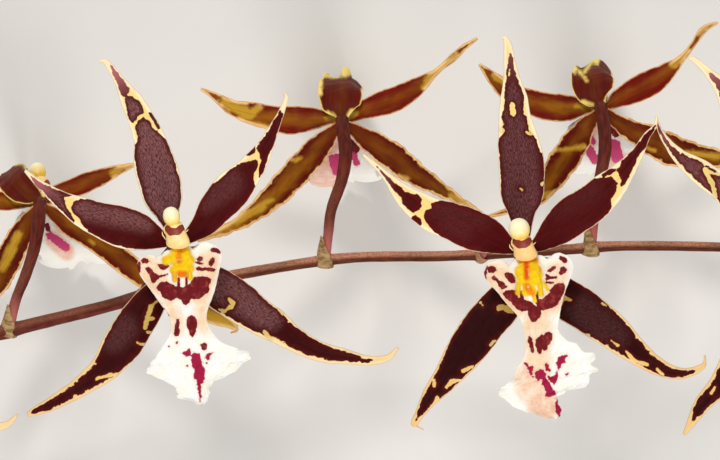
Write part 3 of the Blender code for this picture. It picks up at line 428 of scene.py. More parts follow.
PAINT_5 = {
    "dorsal_sepal": face_paint(
        (
            (0, 0.3, 0.2), (0.2, 0.4, 0.2), (0.3, 0.7, 0.25), (0.4, 0.6, 0.3), (0.48, 0.4, 0.5),
            (1, 0.4, 0.4),
        ),
        blotches=(
            (
                (-3.7, 48.95), (-4.4, 45), (-4.65, 40.35), (-5.05, 36.25), (-5.65, 32.75), (-5.05, 31.3),
                (-5.75, 29.95), (-5.05, 28.95), (-6.55, 27.5), (-8.65, 24.6), (-9.85, -5), (7.65, -5),
                (7.65, 21.1), (3.7, 24.6), (3, 26.9), (2.2, 28.35), (1, 29.25), (0.75, 31), (0.4, 32.75),
                (-0.45, 33.9), (-0.55, 36.25), (-0.3, 37.7), (-1.3, 40.6), (-2.2, 43.25), (-2.85, 46.15),
                (-3.35, 48.8),
            ),
        ),
        cuts=(
            (-3.1, 36, -2.95, 34, 0.65, 0.72), (-1.5, 15.6, -0.75, 14.9, 0.17, 0.25),
            (-3.9, 44.75, -4, 43.25, 0.17, 0.12), (-6.25, 30, -5.75, 29.75, 0.5, 0.55),
            (4.25, 16.5, 4.75, 16.75, 0.3, 0.4), (0.5, 29.25, 1.25, 28.75, 0.33, 0.5),
        ),
        painted_sheen=((-1, 8.75, -2.75, 37.5, 3.9, 2.2),), painted_sheen_strength=0.5, tone=0.4, painted_tip_sheen=0.35,
    ),
    "left_petal": face_paint(
        (
            (0, 0.2, 0.2), (0.3, 0.3, 0.25), (0.42, 0.45, 0.35), (0.5, 0.6, 0.4), (0.6, 0.3, 0.3),
            (1, 0.3, 0.3),
        ),
        blotches=(
            (
                (-36.85, 20.85), (-34.35, 18.45), (-32.1, 16.45), (-30.45, 15.35), (-29.85, 14.35),
                (-27.95, 13.9), (-26.55, 13.6), (-25.65, 12.6), (-25.85, 11.1), (-26.3, 10), (-27.4, 9.55),
                (-28.8, 9.8), (-29.9, 11.1), (-30.6, 12.8), (-31.3, 14.1), (-32.4, 14.65), (-33.5, 16.4),
                (-34.9, 18.55),
            ),
            ((-27.8, 8.3), (-27.1, 8.6), (-26.1, 8), (-25.8, 6.9), (-26.3, 5.55), (-28.5, 7.2)),
            (
                (-23.1, 11.45), (-21.55, 12.15), (-17.1, 12.8), (3.45, 8.35), (0.65, -11.1), (-16, 0.85),
                (-19.9, 3), (-22.1, 4.4), (-23.5, 5.5), (-24.6, 6.9), (-25.05, 8.35), (-24.75, 9.45),
                (-23.2, 10.3),
            ),
        ),
        painted_sheen=((-22, 11, -11.5, 8.5, 1.2, 1.1), (-18.5, 7, -15.5, 5.5, 0.9, 0.9)), painted_sheen_strength=0.12,
        tone=0.75, painted_tip_sheen=0.5,
    ),
    "right_petal": face_paint(
        (
            (0, 0.2, 0.2), (0.3, 0.35, 0.25), (0.45, 0.5, 0.3), (0.53, 0.5, 0.4), (0.6, 0.3, 0.3),
            (1, 0.3, 0.3),
        ),
        blotches=(
            (
                (32.3, 30.9), (29.85, 28.65), (26.65, 24.85), (24.2, 21.95), (22.85, 19.9), (23.7, 18.05),
                (24, 15.7), (24.8, 16.4), (26.45, 19.9), (27.9, 22.85), (29.95, 25.75), (32, 29.55),
            ),
            ((19.05, 18.65), (20.5, 19.9), (22.55, 20.1), (20.8, 18.75), (19.65, 18.05)),
            (
                (0.65, 11.75), (14.65, 16.9), (18.15, 17.8), (21.4, 18.1), (22.85, 16.7), (22.45, 14.65),
                (21.25, 12.6), (21.3, 10.6), (19.9, 7.1), (12.35, -2.25), (0.65, -4.6),
            ),
        ),
        painted_sheen=((8.5, 11.25, 16, 14.75, 1.4, 1.1),), painted_sheen_strength=0.08, tone=0.7,
    ),
    "left_sepal": face_paint(
        (
            (0, 0.3, 0.3), (0.3, 0.3, 0.4), (0.42, 0.35, 0.6), (0.5, 0.5, 0.5), (0.56, 0.8, 0.6),
            (0.62, 0.6, 0.8), (0.7, 0.5, 1), (0.76, 0.5, 1.4), (0.81, 0.9, 0.8), (0.88, 0.8, 0.8),
            (0.92, 1.2, 1.2), (0.95, 2, 2), (1, 2, 2),
        ),
        cuts=(
            (-6.5, -14.25, -4.75, -14.5, 0.8, 0.7), (-4.75, -14.5, -3, -15.5, 0.65, 0.4),
            (-15.25, -30, -13, -29, 0.55, 0.35), (-19.5, -34, -18.25, -32.6, 0.45, 0.45),
            (-18.25, -32.6, -16, -32.25, 0.45, 0.38), (-22.75, -32.25, -22.5, -33.5, 0.5, 0.45),
            (-21.75, -36.75, -22.5, -38, 0.4, 0.4), (-11, -13, -10.5, -13.75, 0.25, 0.35),
            (-8.5, -23.5, -7.5, -22.5, 0.4, 0.35),
        ),
        tone=0.05, gilding=(0.4, 0.6),
    ),
    "right_sepal": face_paint(
        (
            (0, 0.2, 0.3), (0.27, 0.25, 0.5), (0.38, 0.5, 0.5), (0.45, 0.8, 0.7), (0.55, 0.9, 1),
            (0.62, 0.9, 1), (0.7, 1.1, 0.8), (0.78, 1.2, 0.6), (0.86, 0.9, 0.7), (0.9, 0.9, 0.8),
            (0.935, 2.5, 2.5), (1, 2.5, 2.5),
        ),
        cuts=(
            (9.75, -11.75, 11.5, -12.5, 0.55, 0.4), (9.5, -12.5, 9, -13.5, 0.42, 0.25),
            (21.5, -22.5, 23.25, -23.75, 0.25, 0.28), (25.25, -25.25, 26.75, -27.25, 0.3, 0.45),
            (26.75, -27.25, 30.5, -28.5, 0.42, 0.42), (32.75, -29.5, 34.25, -31, 0.33, 0.42),
            (15, -21.25, 15.75, -21.25, 0.3, 0.45), (24, -27.25, 26.5, -27.75, 0.28, 0.28),
            (19.25, -13.25, 20.25, -13.75, 0.3, 0.33),
        ),
        painted_sheen=((14, -15.5, 22, -21.25, 2.3, 1.8),), painted_sheen_strength=0.2, tone=0.1, gilding=(0.3, 0.55),
    ),
}
PAINT_7 = dict(PAINT_5)
PAINT_7["dorsal_sepal"] = dict(
    PAINT_3["dorsal_sepal"], blotches=(), painted_sheen=((-4, 10, -18, 35, 4, 2),),
    margins=((0, 0.5, 0.5), (0.5, 0.8, 1), (0.75, 1.1, 1.5), (0.85, 0.9, 1.1), (0.93, 2, 2), (1, 2, 2)),
)
PAINT_7["left_petal"] = dict(
    PAINT_5["left_petal"], blotches=(),
    margins=(
        (0, 0.4, 0.4), (0.4, 0.6, 0.5), (0.6, 1.1, 1.3), (0.8, 0.9, 1.2), (0.9, 0.6, 0.7), (1, 0.4, 0.4),
    ),
    cuts=(
        (-24.25, 17.25, -22.75, 14.75, 0.65, 0.55), (-22.75, 14.75, -21.75, 11, 0.55, 0.6),
        (-24.25, 17.25, -21, 16.25, 0.55, 0.3),
    ),
    painted_sheen=((-28, 18.75, -17.5, 12.5, 2, 2),), painted_sheen_strength=0.8,
)

WAVY_MARGINS = ((0, 0.3, 0.3), (0.2, 0.55, 0.55), (0.5, 0.8, 0.8), (0.8, 0.8, 0.8), (1, 0.7, 0.7))
PAINT_4 = {
    "dorsal_sepal": back_paint(
        (
            (0.9, 14, 0.9, 12.3, 1.6, 1.4), (-5.2, 11.7, -0.6, 11, 0.6, 0.35),
            (-5.8, 10.6, -5.6, 6.8, 0.8, 0.5), (-3.7, 1.9, -2, 1, 0.4, 0.4),
            (2.5, 2.6, 1.6, 1.2, 0.35, 0.4),
        ),
        tone=0.3, cup=(0.3, 2.8, 2.6), gilding=(0.1, 0.1),
    ),
    "left_petal": back_paint(
        (
            (-20.8, 3.4, -23.6, 1.4, 0.7, 1.3), (-24.5, 4.6, -29.5, 5.4, 0.7, 0.9),
            (-24.5, 2.2, -30, 4.3, 1.4, 0.7), (-17.5, -2.2, -26, 0.6, 0.6, 0.5),
            (-1.5, 0.6, -4, 0.7, 0.7, 0.5),
        ),
        tone=0.9, gilding=(0.5, 0.8),
    ),
    "right_petal": back_paint(
        (
            (21.5, 10, 24.75, 13.25, 1, 0.75), (20.75, 8.5, 23.5, 12, 0.75, 0.75),
            (24.75, 13.25, 29, 16.75, 0.8, 0.5), (1.6, 1, 3.4, 1.9, 0.7, 0.5),
        ),
        tone=0.9, gilding=(0.3, 0.45),
    ),
    "left_sepal": back_paint(
        (
            (-20, -21.5, -26.75, -25.5, 0.9, 0.8), (-23, -23, -35.5, -30, 0.75, 0.75),
            (-10.5, -9.5, -12.5, -10, 0.5, 0.4), (-17.5, -20, -20, -21, 0.4, 0.6),
        ),
        WAVY_MARGINS, 0.4, 0.9, gilding=(0.1, 1.4),
    ),
    "right_sepal": back_paint(
        (
            (27.5, -18.75, 36.25, -24, 0.6, 0.6), (14.5, -14, 16.5, -14.5, 0.4, 0.55),
            (19.5, -10.5, 20.5, -11.5, 0.3, 0.45),
        ),
        WAVY_MARGINS, 0.3, 0.9, gilding=(0.1, 0.5),
    ),
}
PAINT_6 = {
    "dorsal_sepal": back_paint(
        (
            (-0.6, 12.4, -0.6, 11.6, 1.1, 0.8), (-6.6, 11.2, -6.4, 8.6, 0.9, 0.3),
            (-6.2, 10.6, -3.3, 6.6, 0.4, 0.25), (-1, 12.2, -4.2, 8.4, 0.45, 0.22),
            (-4.4, 1.4, -2.2, 0.8, 0.4, 0.4), (1.9, 2.5, 1.4, 1.4, 0.35, 0.35),
        ),
        tone=0.3, cup=(0.3, 2.8, 2.2), gilding=(0.1, 0.1), knob=(-0.17, 0.6, 2),
    ),
    "left_petal": back_paint(
        ((-23.5, 6.25, -26.5, 8.25, 1, 1), (-1.5, 0.6, -6, 0.5, 0.8, 0.5)), tone=0.8, gilding=(0.9, 0.5),
    ),
    "right_petal": back_paint(
        ((18.5, 11, 22, 14.25, 1, 0.75), (24.5, 18.75, 27.5, 21.25, 0.6, 0.5)), tone=0.9,
        gilding=(0.3, 0.4),
    ),
    "left_sepal": back_paint(
        (
            (-11.5, -10.75, -4.25, -9.75, 0.3, 0.6), (-15.5, -22.25, -11.5, -21.5, 1, 0.65),
            (-20.5, -25, -15.5, -22.75, 0.75, 0.75),
        ),
        WAVY_MARGINS, 0.4, 0.9, gilding=(0.2, 1.1),
    ),
    "right_sepal": back_paint(
        ((11.5, -10, 13.5, -10.75, 0.3, 0.4), (22, -11.25, 29.5, -12.25, 0.55, 0.75)), WAVY_MARGINS, 0.3,
        0.9, gilding=(0.2, 0.6),
    ),
}
PAINT_2 = {
    "dorsal_sepal": back_paint(
        (
            (-11, 9.4, -4.5, 10.3, 0.9, 0.6), (-4.5, 10.3, -0.4, 4.4, 0.4, 0.35),
            (1.2, 2.4, 1.4, 0.8, 0.5, 0.5),
        ),
        tone=0.3, cup=(0, 2.6, 0), gilding=(0.1, 0.1),
    ),
    "left_petal": back_paint(((-1.5, 0.6, -6, 0.7, 0.8, 0.8),), tone=0.6, gilding=(1.2, 0.6)),
    "right_petal": back_paint(
        ((18.5, 7.5, 21, 9.25, 0.9, 0.75), (21, 9.25, 23.75, 10, 0.75, 0.5)), tone=0.9, gilding=(0.3, 0.4),
    ),
    "left_sepal": back_paint(
        ((-5.5, -8, -8.5, -13.75, 1, 1), (-7, -11.75, -9.5, -16.25, 1, 1)), WAVY_MARGINS, 0.3, 0.9,
    ),
    "right_sepal": back_paint(
        (
            (12.5, -9.25, 13.5, -10.25, 0.3, 0.3), (42, -28.25, 49.5, -31.25, 1.6, 1.3),
            (32.5, -26, 40.5, -28.75, 0.3, 0.9),
        ),
        WAVY_MARGINS, 0.35, 0.4,
    ),
}

# A lip's outline, row by row from its foot to its end: left edge x, y, right edge x, y.
LIP_OUTLINE_3 = (
    (-7, -2.9, 7, 0.4), (-9, -3.75, 10, -0.75), (-9.75, -5.25, 11.1, -2.5), (-9.5, -6.75, 11.1, -4.25),
    (-8.5, -8.75, 10.6, -6.5), (-7, -10.75, 10, -9.25), (-5.75, -12.5, 9.4, -11.75),
    (-4.5, -14.25, 8.6, -14), (-3.5, -15.75, 7.75, -16.25), (-2, -17.75, 7.4, -18),
    (-1.4, -19.75, 7.6, -19.75), (-1.5, -22.25, 8.75, -22), (-2.5, -24.25, 11, -24.5),
    (-4.25, -26.75, 15, -26.1), (-5.75, -29, 17.6, -27), (-7, -31, 18, -28.75), (-7.6, -32.1, 16.25, -30),
    (-5, -33.25, 15, -31.5), (-2, -34.75, 12, -33.1), (0, -36.5, 9, -34.75), (0.6, -38.5, 8, -36.75),
    (3, -39.1, 7.6, -38.75), (4.75, -39.9, 6.75, -40), (5.5, -40.5, 6.1, -40.5),
)
LIP_OUTLINE_5 = (
    (-6.75, -2.4, 8.5, -0.6), (-9.25, -3.25, 10.5, -1.5), (-10.1, -4.75, 11.75, -3.25),
    (-10, -6.5, 11.75, -5), (-8.75, -8.5, 10.9, -7.5), (-7, -10.25, 10, -9.75),
    (-5.25, -12.5, 9.25, -12.25), (-3.5, -14.5, 8.75, -14.5), (-1.75, -16.5, 8.4, -16.75),
    (-0.6, -18.75, 8.1, -19), (-0.2, -21, 8.5, -20.5), (0, -22.75, 10.5, -22.5), (0, -24.75, 12.75, -23.25),
    (-0.5, -26.75, 14.5, -25.25), (-1.5, -28.5, 17, -25.5), (-2.75, -30.25, 17.4, -26.75),
    (-3.1, -32, 16.5, -28.5), (-4.75, -33.5, 18.2, -30), (-6.25, -34.5, 16.5, -30.5),
    (-6.6, -35.75, 15.5, -33.5), (-4.75, -37.25, 13.25, -34.4), (-2.75, -38.75, 10.9, -34.25),
    (-0.25, -40.1, 9, -36.1), (2.5, -40.75, 8.1, -37), (5.25, -41.75, 8.75, -39.75),
    (7, -42.1, 8.75, -41.25), (7.6, -42.3, 8.1, -42.3),
)
# How high a lip lies above its flower's centre plane: y, height.
LIP_HEIGHTS_FRONT = (
    (-42.5, -2), (-41, -1.4), (-38.5, 0), (-34, 2), (-30, 3.3), (-25.5, 4.1), (-19, 4.4), (-11, 4.5),
    (-6.5, 4.1), (-2.5, 3.2), (0.5, 2.4),
)
# A hanging lip's row: y, height, left edge, right edge.
LIP_OF_4 = (
    (-2.4, -3.2, -4.5, 5.5), (-4.5, -3.8, -7.5, 8.5), (-7, -4.6, -8.5, 9.75), (-10, -6, -7.5, 9),
    (-12.5, -8.5, -7.3, 8.6), (-14, -11.5, -7.2, 8.4), (-15, -15, -7.6, 8.6), (-15.8, -18.5, -8, 9),
    (-16.2, -22, -9.5, 10.5), (-16.5, -25.5, -8.5, 9.5), (-16.8, -29, -6, 7), (-17, -32.5, -3.5, 4),
    (-17, -35.5, -1, 1.6),
)
LEAN_OF_2 = 0.6
LIP_OF_2 = tuple(
    (y, z, left + LEAN_OF_2 * (LIP_OF_4[0][0] - y), right + LEAN_OF_2 * (LIP_OF_4[0][0] - y))
    for y, z, left, right in LIP_OF_4
)

# Spots on a lip, as outlines: crimson ones, and the magenta ones of the middle lobe. Dots are capsules.
SPOTS_3 = (
    (
        (-5.2, -11.1), (-4.6, -10.3), (-3.6, -9.5), (-2.2, -9.6), (-1.2, -10.2), (-0.2, -10.7),
        (0.7, -10.6), (1.5, -11), (2.4, -10.6), (3.5, -10), (3.7, -9.3), (4.4, -8.5), (5.4, -8.3),
        (6.7, -8.2), (7.8, -8.4), (8.6, -9), (8.4, -9.9), (8, -10.4), (8.1, -11.6), (7.6, -12.5),
        (6.7, -13), (5.7, -13.8), (4.5, -13.9), (3.6, -13.8), (3.2, -14.7), (2.4, -15.5), (1.6, -15),
        (1.1, -14.1), (-0.1, -13.6), (-1.3, -14.3), (-2.5, -14), (-3.6, -13.3), (-4, -12.2), (-4.5, -11.8),
    ),
    (
        (-7.8, -6.2), (-6.9, -5.8), (-6.2, -6.4), (-5.7, -7.1), (-5.1, -7.6), (-4.3, -7.9), (-3.1, -7.8),
        (-2.3, -7.5), (-2, -7.8), (-3.1, -8.3), (-4.2, -8.6), (-4.9, -9.3), (-5.6, -9.9), (-6.2, -9.7),
        (-6.5, -8.7), (-6.8, -7.8), (-7.5, -7),
    ),
    (
        (-4.9, -5.2), (-3.4, -5.1), (-2.2, -4.9), (-1.8, -5.7), (-2.5, -6.4), (-3.4, -6.8), (-4.1, -6.4),
        (-4.5, -5.7),
    ),
    ((-9, -4.2), (-8.2, -3.7), (-7.2, -3.9), (-6.7, -4.5), (-7.4, -5), (-8.5, -5)),
    ((-10.1, -5.9), (-9.7, -4.8), (-8.9, -4.5), (-8.9, -5.4), (-9, -7), (-9.2, -7.7), (-9.8, -7.3)),
    (
        (8.1, -1.8), (9.1, -1), (10.1, -1.3), (10.7, -1.9), (11, -2.6), (10.3, -2.6), (9.4, -2.3),
        (8.7, -2.3),
    ),
    ((4.8, -3.9), (5.7, -3.2), (6.4, -3.3), (6.5, -4.2), (6, -4.6), (5.3, -4.4)),
    ((4.3, -4.6), (5.4, -4.6), (6.2, -4.8), (6.7, -5.1), (6.1, -5.3), (5, -5.2)),
    ((8.1, -4.2), (9, -3.5), (9.5, -3.8), (9.5, -4.5), (9, -5.5), (8.5, -6), (7.9, -5.3)),
    (
        (4.5, -6.4), (5.4, -5.8), (6.4, -6.1), (7.6, -6), (8.8, -6.1), (9.7, -6.5), (9.3, -7.2),
        (8.2, -7.1), (7.3, -6.8), (6.1, -6.9), (5, -6.8),
    ),
    (
        (0, -18.8), (0.6, -18.9), (0.8, -19.9), (0.5, -20.8), (0.8, -21.9), (0.5, -23), (-0.5, -23.1),
        (-0.7, -22.5), (-0.5, -21.7), (-0.4, -20.4),
    ),
    (
        (2.7, -18.4), (3.6, -17.7), (4.5, -18.2), (5.1, -19.3), (5.2, -20.2), (4.9, -21.3), (4.6, -22.5),
        (3.9, -23.4), (3.3, -22.9), (3, -21.6), (2.5, -20.8), (2.4, -19.6),
    ),
    ((5.9, -25.2), (7, -24.7), (7.6, -25.2), (7.5, -26.2), (7, -26.7), (6.3, -26.4)),
)
MAGENTA_3 = (
    ((1.1, -27.4), (2.3, -26.6), (3.2, -26.2), (3.7, -27.1), (3.5, -27.9), (2.7, -28.2), (1.8, -27.8)),
    ((7.2, -28), (8.1, -27.2), (9, -27.2), (8.6, -27.8), (8.1, -28.8), (7.5, -29.1), (7.1, -28.5)),
    (
        (3.7, -28), (4.2, -27), (5, -27.3), (5.8, -27.4), (6, -28.5), (6.2, -29.5), (6.5, -30.4),
        (7.2, -31.8), (6.9, -32.6), (6.9, -33.8), (6.6, -34.6), (6.1, -35), (6, -36.9), (6.1, -38.7),
        (5.7, -39.4), (5.5, -37.5), (5, -35.6), (4.8, -34.1), (4.2, -33.7), (4.2, -32.6), (4.4, -31.7),
        (3.9, -30.4), (3.6, -29.2),
    ),
)
SPOTS_5 = (
    (
        (-5.7, -10.6), (-4.7, -10), (-3.2, -9.8), (-2.2, -10.1), (-1.8, -11.7), (-0.5, -12.1), (0.5, -12.5),
        (1.6, -12.8), (2.3, -13.5), (2.8, -13.9), (3.1, -12.2), (4.2, -12.1), (5.2, -11.3), (6.2, -10.5),
        (5.8, -10), (6.7, -9.3), (7.5, -8.4), (8.5, -8.1), (9.5, -8.2), (9.9, -9.1), (9.6, -10.8),
        (8.7, -12.1), (8.1, -13.5), (6.9, -14.3), (5.2, -14.8), (4, -15.1), (3.8, -16.5), (2.6, -17.7),
        (1.7, -18), (0.8, -16.5), (0.6, -14.9), (-0.8, -15.2), (-2.1, -14.7), (-3.6, -12.9), (-5.2, -11.6),
    ),
    ((-9.6, -4.8), (-8.7, -3.8), (-7.4, -4.1), (-7.2, -5.1), (-8, -5.8), (-9.1, -5.5)),
    (
        (-8.6, -6.6), (-7.7, -6.3), (-6.6, -7.4), (-5.4, -7.9), (-4.8, -8.7), (-4.2, -8.9), (-5, -9.5),
        (-5.8, -9.8), (-6.5, -9), (-7.2, -7.8), (-8.1, -7.3),
    ),
    (
        (-5.3, -5.8), (-4.3, -5.4), (-3.1, -5.9), (-2.4, -6.9), (-2.4, -8), (-3.2, -8.4), (-4.1, -7.8),
        (-4.9, -6.8),
    ),
    ((-10.3, -6.1), (-10, -4.8), (-9.4, -3.8), (-9.5, -5.4), (-9.7, -7.6)),
    ((5.4, -5.1), (6.5, -4.2), (7.6, -3.7), (7.6, -4.4), (6.9, -5.1), (6, -5.6)),
    (
        (0.7, -21.4), (1.2, -21.2), (1.8, -22.2), (2, -23.5), (2.3, -24.9), (2, -25.5), (1.4, -25.3),
        (1, -23.9), (0.7, -22.7),
    ),
    (
        (2.5, -22.2), (3.6, -21.3), (4.1, -20.8), (4.6, -21), (5.1, -20.4), (6, -20.1), (6.7, -20.8),
        (6.7, -21.9), (6.3, -23), (5.6, -23.8), (5.5, -24.8), (4.8, -25), (4.2, -24.6), (4, -25.6),
        (3.4, -25.8), (2.9, -24.9), (2.5, -23.6),
    ),
)
MAGENTA_5 = (
    (
        (-0.4, -27.9), (0.3, -28), (1.1, -28.8), (1.9, -28.8), (2.2, -29.7), (1.7, -30.2), (1.9, -31.1),
        (2.4, -31.5), (2, -31.7), (1.2, -31), (1, -29.9), (0.2, -29.1), (-0.3, -28.4),
    ),
    (
        (2.4, -30.3), (3.5, -29.7), (4.5, -29.6), (5.1, -30.7), (5.3, -31.6), (5.9, -32.6), (6.6, -33.8),
        (7.1, -34.8), (7.7, -35.4), (6.9, -36.3), (6, -36.5), (5.2, -36.2), (5, -34.5), (4.2, -33.3),
        (4.1, -32.2), (3.2, -32.3), (2.5, -31.1),
    ),
    ((5, -27.9), (5.6, -28), (5.9, -29.1), (6.3, -30), (5.9, -30.4), (5.3, -29.9), (4.9, -28.7)),
    (
        (5.5, -30.8), (6.4, -31.5), (7.2, -31.1), (8, -30.1), (8.2, -31.3), (7.8, -32.8), (7.2, -33.3),
        (6.4, -32.8), (5.8, -31.9),
    ),
    (
        (7.6, -27.9), (8, -27.6), (8.2, -26.8), (8.9, -26), (9.7, -26.1), (10.2, -25.6), (10.5, -26.2),
        (9.9, -26.8), (10.1, -27.8), (9.3, -28.2), (8.8, -29.1), (8.3, -29.8), (7.8, -29.4), (7.9, -28.7),
        (7.6, -28.6),
    ),
    ((9.8, -30.7), (10.9, -30.3), (10.7, -30.9), (10.2, -31)),
    ((7.8, -36.8), (8.4, -37.4), (9, -39.9), (8.9, -41.5), (8.3, -41.2), (7.6, -39.9), (7.4, -38.6)),
)
DOTS_3 = (
    (0.1, -24.6, 0.1, -24.8, 0.3, 0.25), (-1.9, -25.5, -1.9, -25.6, 0.22, 0.22),
    (2.7, -30.5, 2.7, -30.5, 0.25, 0.25), (7.5, -29.8, 7.5, -29.8, 0.2, 0.2),
    (-4.2, -15.2, -2, -18.1, 0.2, 0.25), (8.8, -14.6, 8.3, -15.9, 0.2, 0.25),
    (0.5, -8.8, 0.6, -10.8, 0.35, 0.3), (2.5, -8.6, 2.4, -10.8, 0.3, 0.3),
)
DOTS_5 = (
    (8.9, -1.9, 9.8, -2.6, 0.5, 0.7), (8.8, -5.7, 9.4, -5, 0.5, 0.9), (5.2, -6.2, 6, -6.9, 0.35, 0.4),
    (5.2, -7.1, 7.6, -6.8, 0.3, 0.35), (5.2, -8, 6.8, -8.1, 0.3, 0.3),
    (-0.9, -10.4, -0.8, -12.4, 0.45, 0.5), (1, -9.8, 1.2, -10.6, 0.35, 0.3),
    (3, -10.4, 2.9, -13, 0.35, 0.4),
)
# Peach parts of a lip, as capsules that fade away.
PEACH_3 = (
    (-7, -6, -2.5, -13.5, 1.6, 1), (8, -4.6, 6, -13.5, 1.4, 1), (-0.5, -17, 0, -21, 0.3, 0.1),
    (6.2, -17, 6.5, -21, 0.3, 0.1),
)
PEACH_5 = (
    (-7, -6, -2, -14, 1.8, 1.4), (8, -6, 6.5, -13, 1.4, 1.2), (2.8, -17, 3, -28.5, 2.4, 1.8),
    (0.6, -32.5, 4.6, -39, 2, 1.8),
)
# A callus ridge: x, y of each end, radius, height.
CALLUS_3 = (
    (-0.1, -2.6, 2.2, -2.6, 1.6, 1.3), (-2.6, -4.3, -0.8, -3.5, 1.2, 1.6), (2.2, -3.4, 3.2, -4.2, 1.4, 1.8),
    (0.2, -5.4, 2.6, -5.4, 1.4, 1.1), (-0.6, -6.6, 3.2, -6.4, 1.2, 1.4),
    (-0.6, -7.4, -0.4, -9.2, 0.65, 1.3), (3.2, -7.2, 3.4, -8.6, 0.7, 1.3), (0.9, -7.8, 1.9, -7.8, 0.8, 0.6),
)
CALLUS_5 = (
    (-0.2, -3.2, 1.9, -3.2, 1.7, 1.3), (-0.9, -5.4, -0.7, -6.2, 1.9, 2), (2.4, -5.2, 2.6, -6.2, 1.9, 2),
    (-0.4, -7.6, 2.9, -7.6, 1.5, 1.2), (-1.6, -8.2, -1.9, -10.6, 0.65, 1.4), (0, -8.4, -0.1, -9.8, 0.6, 1),
    (1.5, -8.4, 1.9, -10.4, 0.7, 0.9), (1.9, -10.8, 2.4, -12.6, 0.5, 0.3),
    (0.2, -10.4, 1.9, -10.2, 1.1, 0.25), (3.6, -8.2, 3.9, -10.9, 0.7, 1.4),
    (4.6, -8.2, 5.5, -9.8, 0.4, 0.7),
)
# The orange parts of a callus: capsules with their strength.
CORE_3 = (
    ((0.55, -2, 0.65, -4.6, 0.2, 0.12), 0.7),
    ((0.9, -7.9, 1.9, -7.9, 0.6, 0.6), 0.8),
    ((-1, -7.4, -0.9, -8.6, 0.1, 0.1), 0.4),
)
CORE_5 = (
    ((0.2, -2.2, 0.3, -6.8, 0.3, 0.2), 1),
    ((-1.6, -2.2, 2.8, -2.2, 0.5, 0.4), 0.55),
    ((0.4, -8.9, 1.6, -10.8, 0.5, 0.4), 0.6),
    ((3.9, -3.2, 4, -5, 0.2, 0.1), 0.5),
)

# Marks on the back of a hanging lip, over the flower in plan.
BACK_PINK_4 = ((-5.4, -9.5, -5.6, -16.5, 3, 3.6), (-2.4, -5.6, -2.2, -6.6, 0.8, 0.8))
BACK_PINK_6 = ((-3, -4, -3, -8, 1.6, 1.6), (3.5, -13, 6.5, -13.5, 1.5, 1.5))
BACK_PINK_2 = ((5.2, -5.4, 5.4, -5.8, 0.8, 0.8), (3, -9, 6.4, -12, 1.2, 1.2))
# The first of them is crimson, the others are magenta.
BACK_MARKS_4 = (
    (1.8, -4.6, 3.4, -7, 0.6, 1), (-2.4, -9.2, -1.2, -12, 1, 1.5), (-1.2, -9, 2.9, -8.8, 0.9, 0.9),
    (2.9, -8.6, 3.7, -10.5, 0.9, 0.7),
)
BACK_MARKS_6 = (
    (2.9, -5, 4, -6.4, 0.9, 0.9), (3.4, -9.2, 4.4, -12, 1.6, 1.6), (-3, -10, -1.2, -12.6, 1.1, 1.2),
    (-2.2, -7.2, -1.6, -8.6, 0.5, 0.5),
)
BACK_MARKS_2 = ((1.6, -5.4, 1.9, -6.4, 0.6, 0.6), (2.4, -8, 6.2, -10.8, 1, 1.1))

# number: centre x and y, height, which way it faces, tepals, their paint
FLOWERS = {
    1: (-140.5, -20, 68, 1, FLOWER_3, PAINT_3),
    2: (-80.5, 6.75, FACE_DOWN_HEIGHT, -1, FLOWER_2, PAINT_2),
    3: (-45.5, -3.25, FACE_UP_HEIGHT, 1, FLOWER_3, PAINT_3),
    4: (-4.5, 27.5, FACE_DOWN_HEIGHT, -1, FLOWER_4, PAINT_4),
    5: (41, -5, FACE_UP_HEIGHT, 1, FLOWER_5, PAINT_5),
    6: (60.5, 30.75, FACE_DOWN_HEIGHT, -1, FLOWER_6, PAINT_6),
    7: (110, -2.5, FACE_UP_HEIGHT - 1.0, 1, FLOWER_7, PAINT_7),
}
LIP_3 = (LIP_OUTLINE_3, SPOTS_3, MAGENTA_3, DOTS_3, PEACH_3, CALLUS_3, CORE_3)
LIP_5 = (LIP_OUTLINE_5, SPOTS_5, MAGENTA_5, DOTS_5, PEACH_5, CALLUS_5, CORE_5)
FRONT_LIPS = {1: LIP_3, 3: LIP_3, 5: LIP_5, 7: LIP_5}
BACK_LIPS = {
    2: (LIP_OF_2, BACK_MARKS_2, BACK_PINK_2), 4: (LIP_OF_4, BACK_MARKS_4, BACK_PINK_4),
    6: (LIP_OF_4, BACK_MARKS_6, BACK_PINK_6),
}

# The rachis from its cut end to its tip: x, y, z, radius.
RACHIS = (
    (-202, -66, 1.65, 1.75), (-190, -62, 1.65, 1.75), (-180, -58.5, 3.6, 1.75), (-167, -53.5, 13, 1.75),
    (-150, -46.8, 27, 1.75), (-130, -39, 40.5, 1.75), (-110, -31.8, 48, 1.72),
    (-90, -25.75, STEM_HEIGHT, 1.7), (-65, -19.5, STEM_HEIGHT, 1.6), (-45.5, -14.25, STEM_HEIGHT, 1.5),
    (-22.5, -9.75, STEM_HEIGHT, 1.35), (-2.5, -7, STEM_HEIGHT, 1.3), (22.5, -6.5, STEM_HEIGHT, 1.3),
    (50, -5, STEM_HEIGHT, 1.3), (65, -4, STEM_HEIGHT, 1.25), (90, -4.25, STEM_HEIGHT, 1.2),
    (108, -5.2, 47.5, 1.1), (123, -7.6, 39, 1), (135, -11, 25, 0.95), (144, -14.5, 9, 0.9),
    (151, -17.6, 1.1, 0.85), (159, -21, 0.75, 0.8),
)
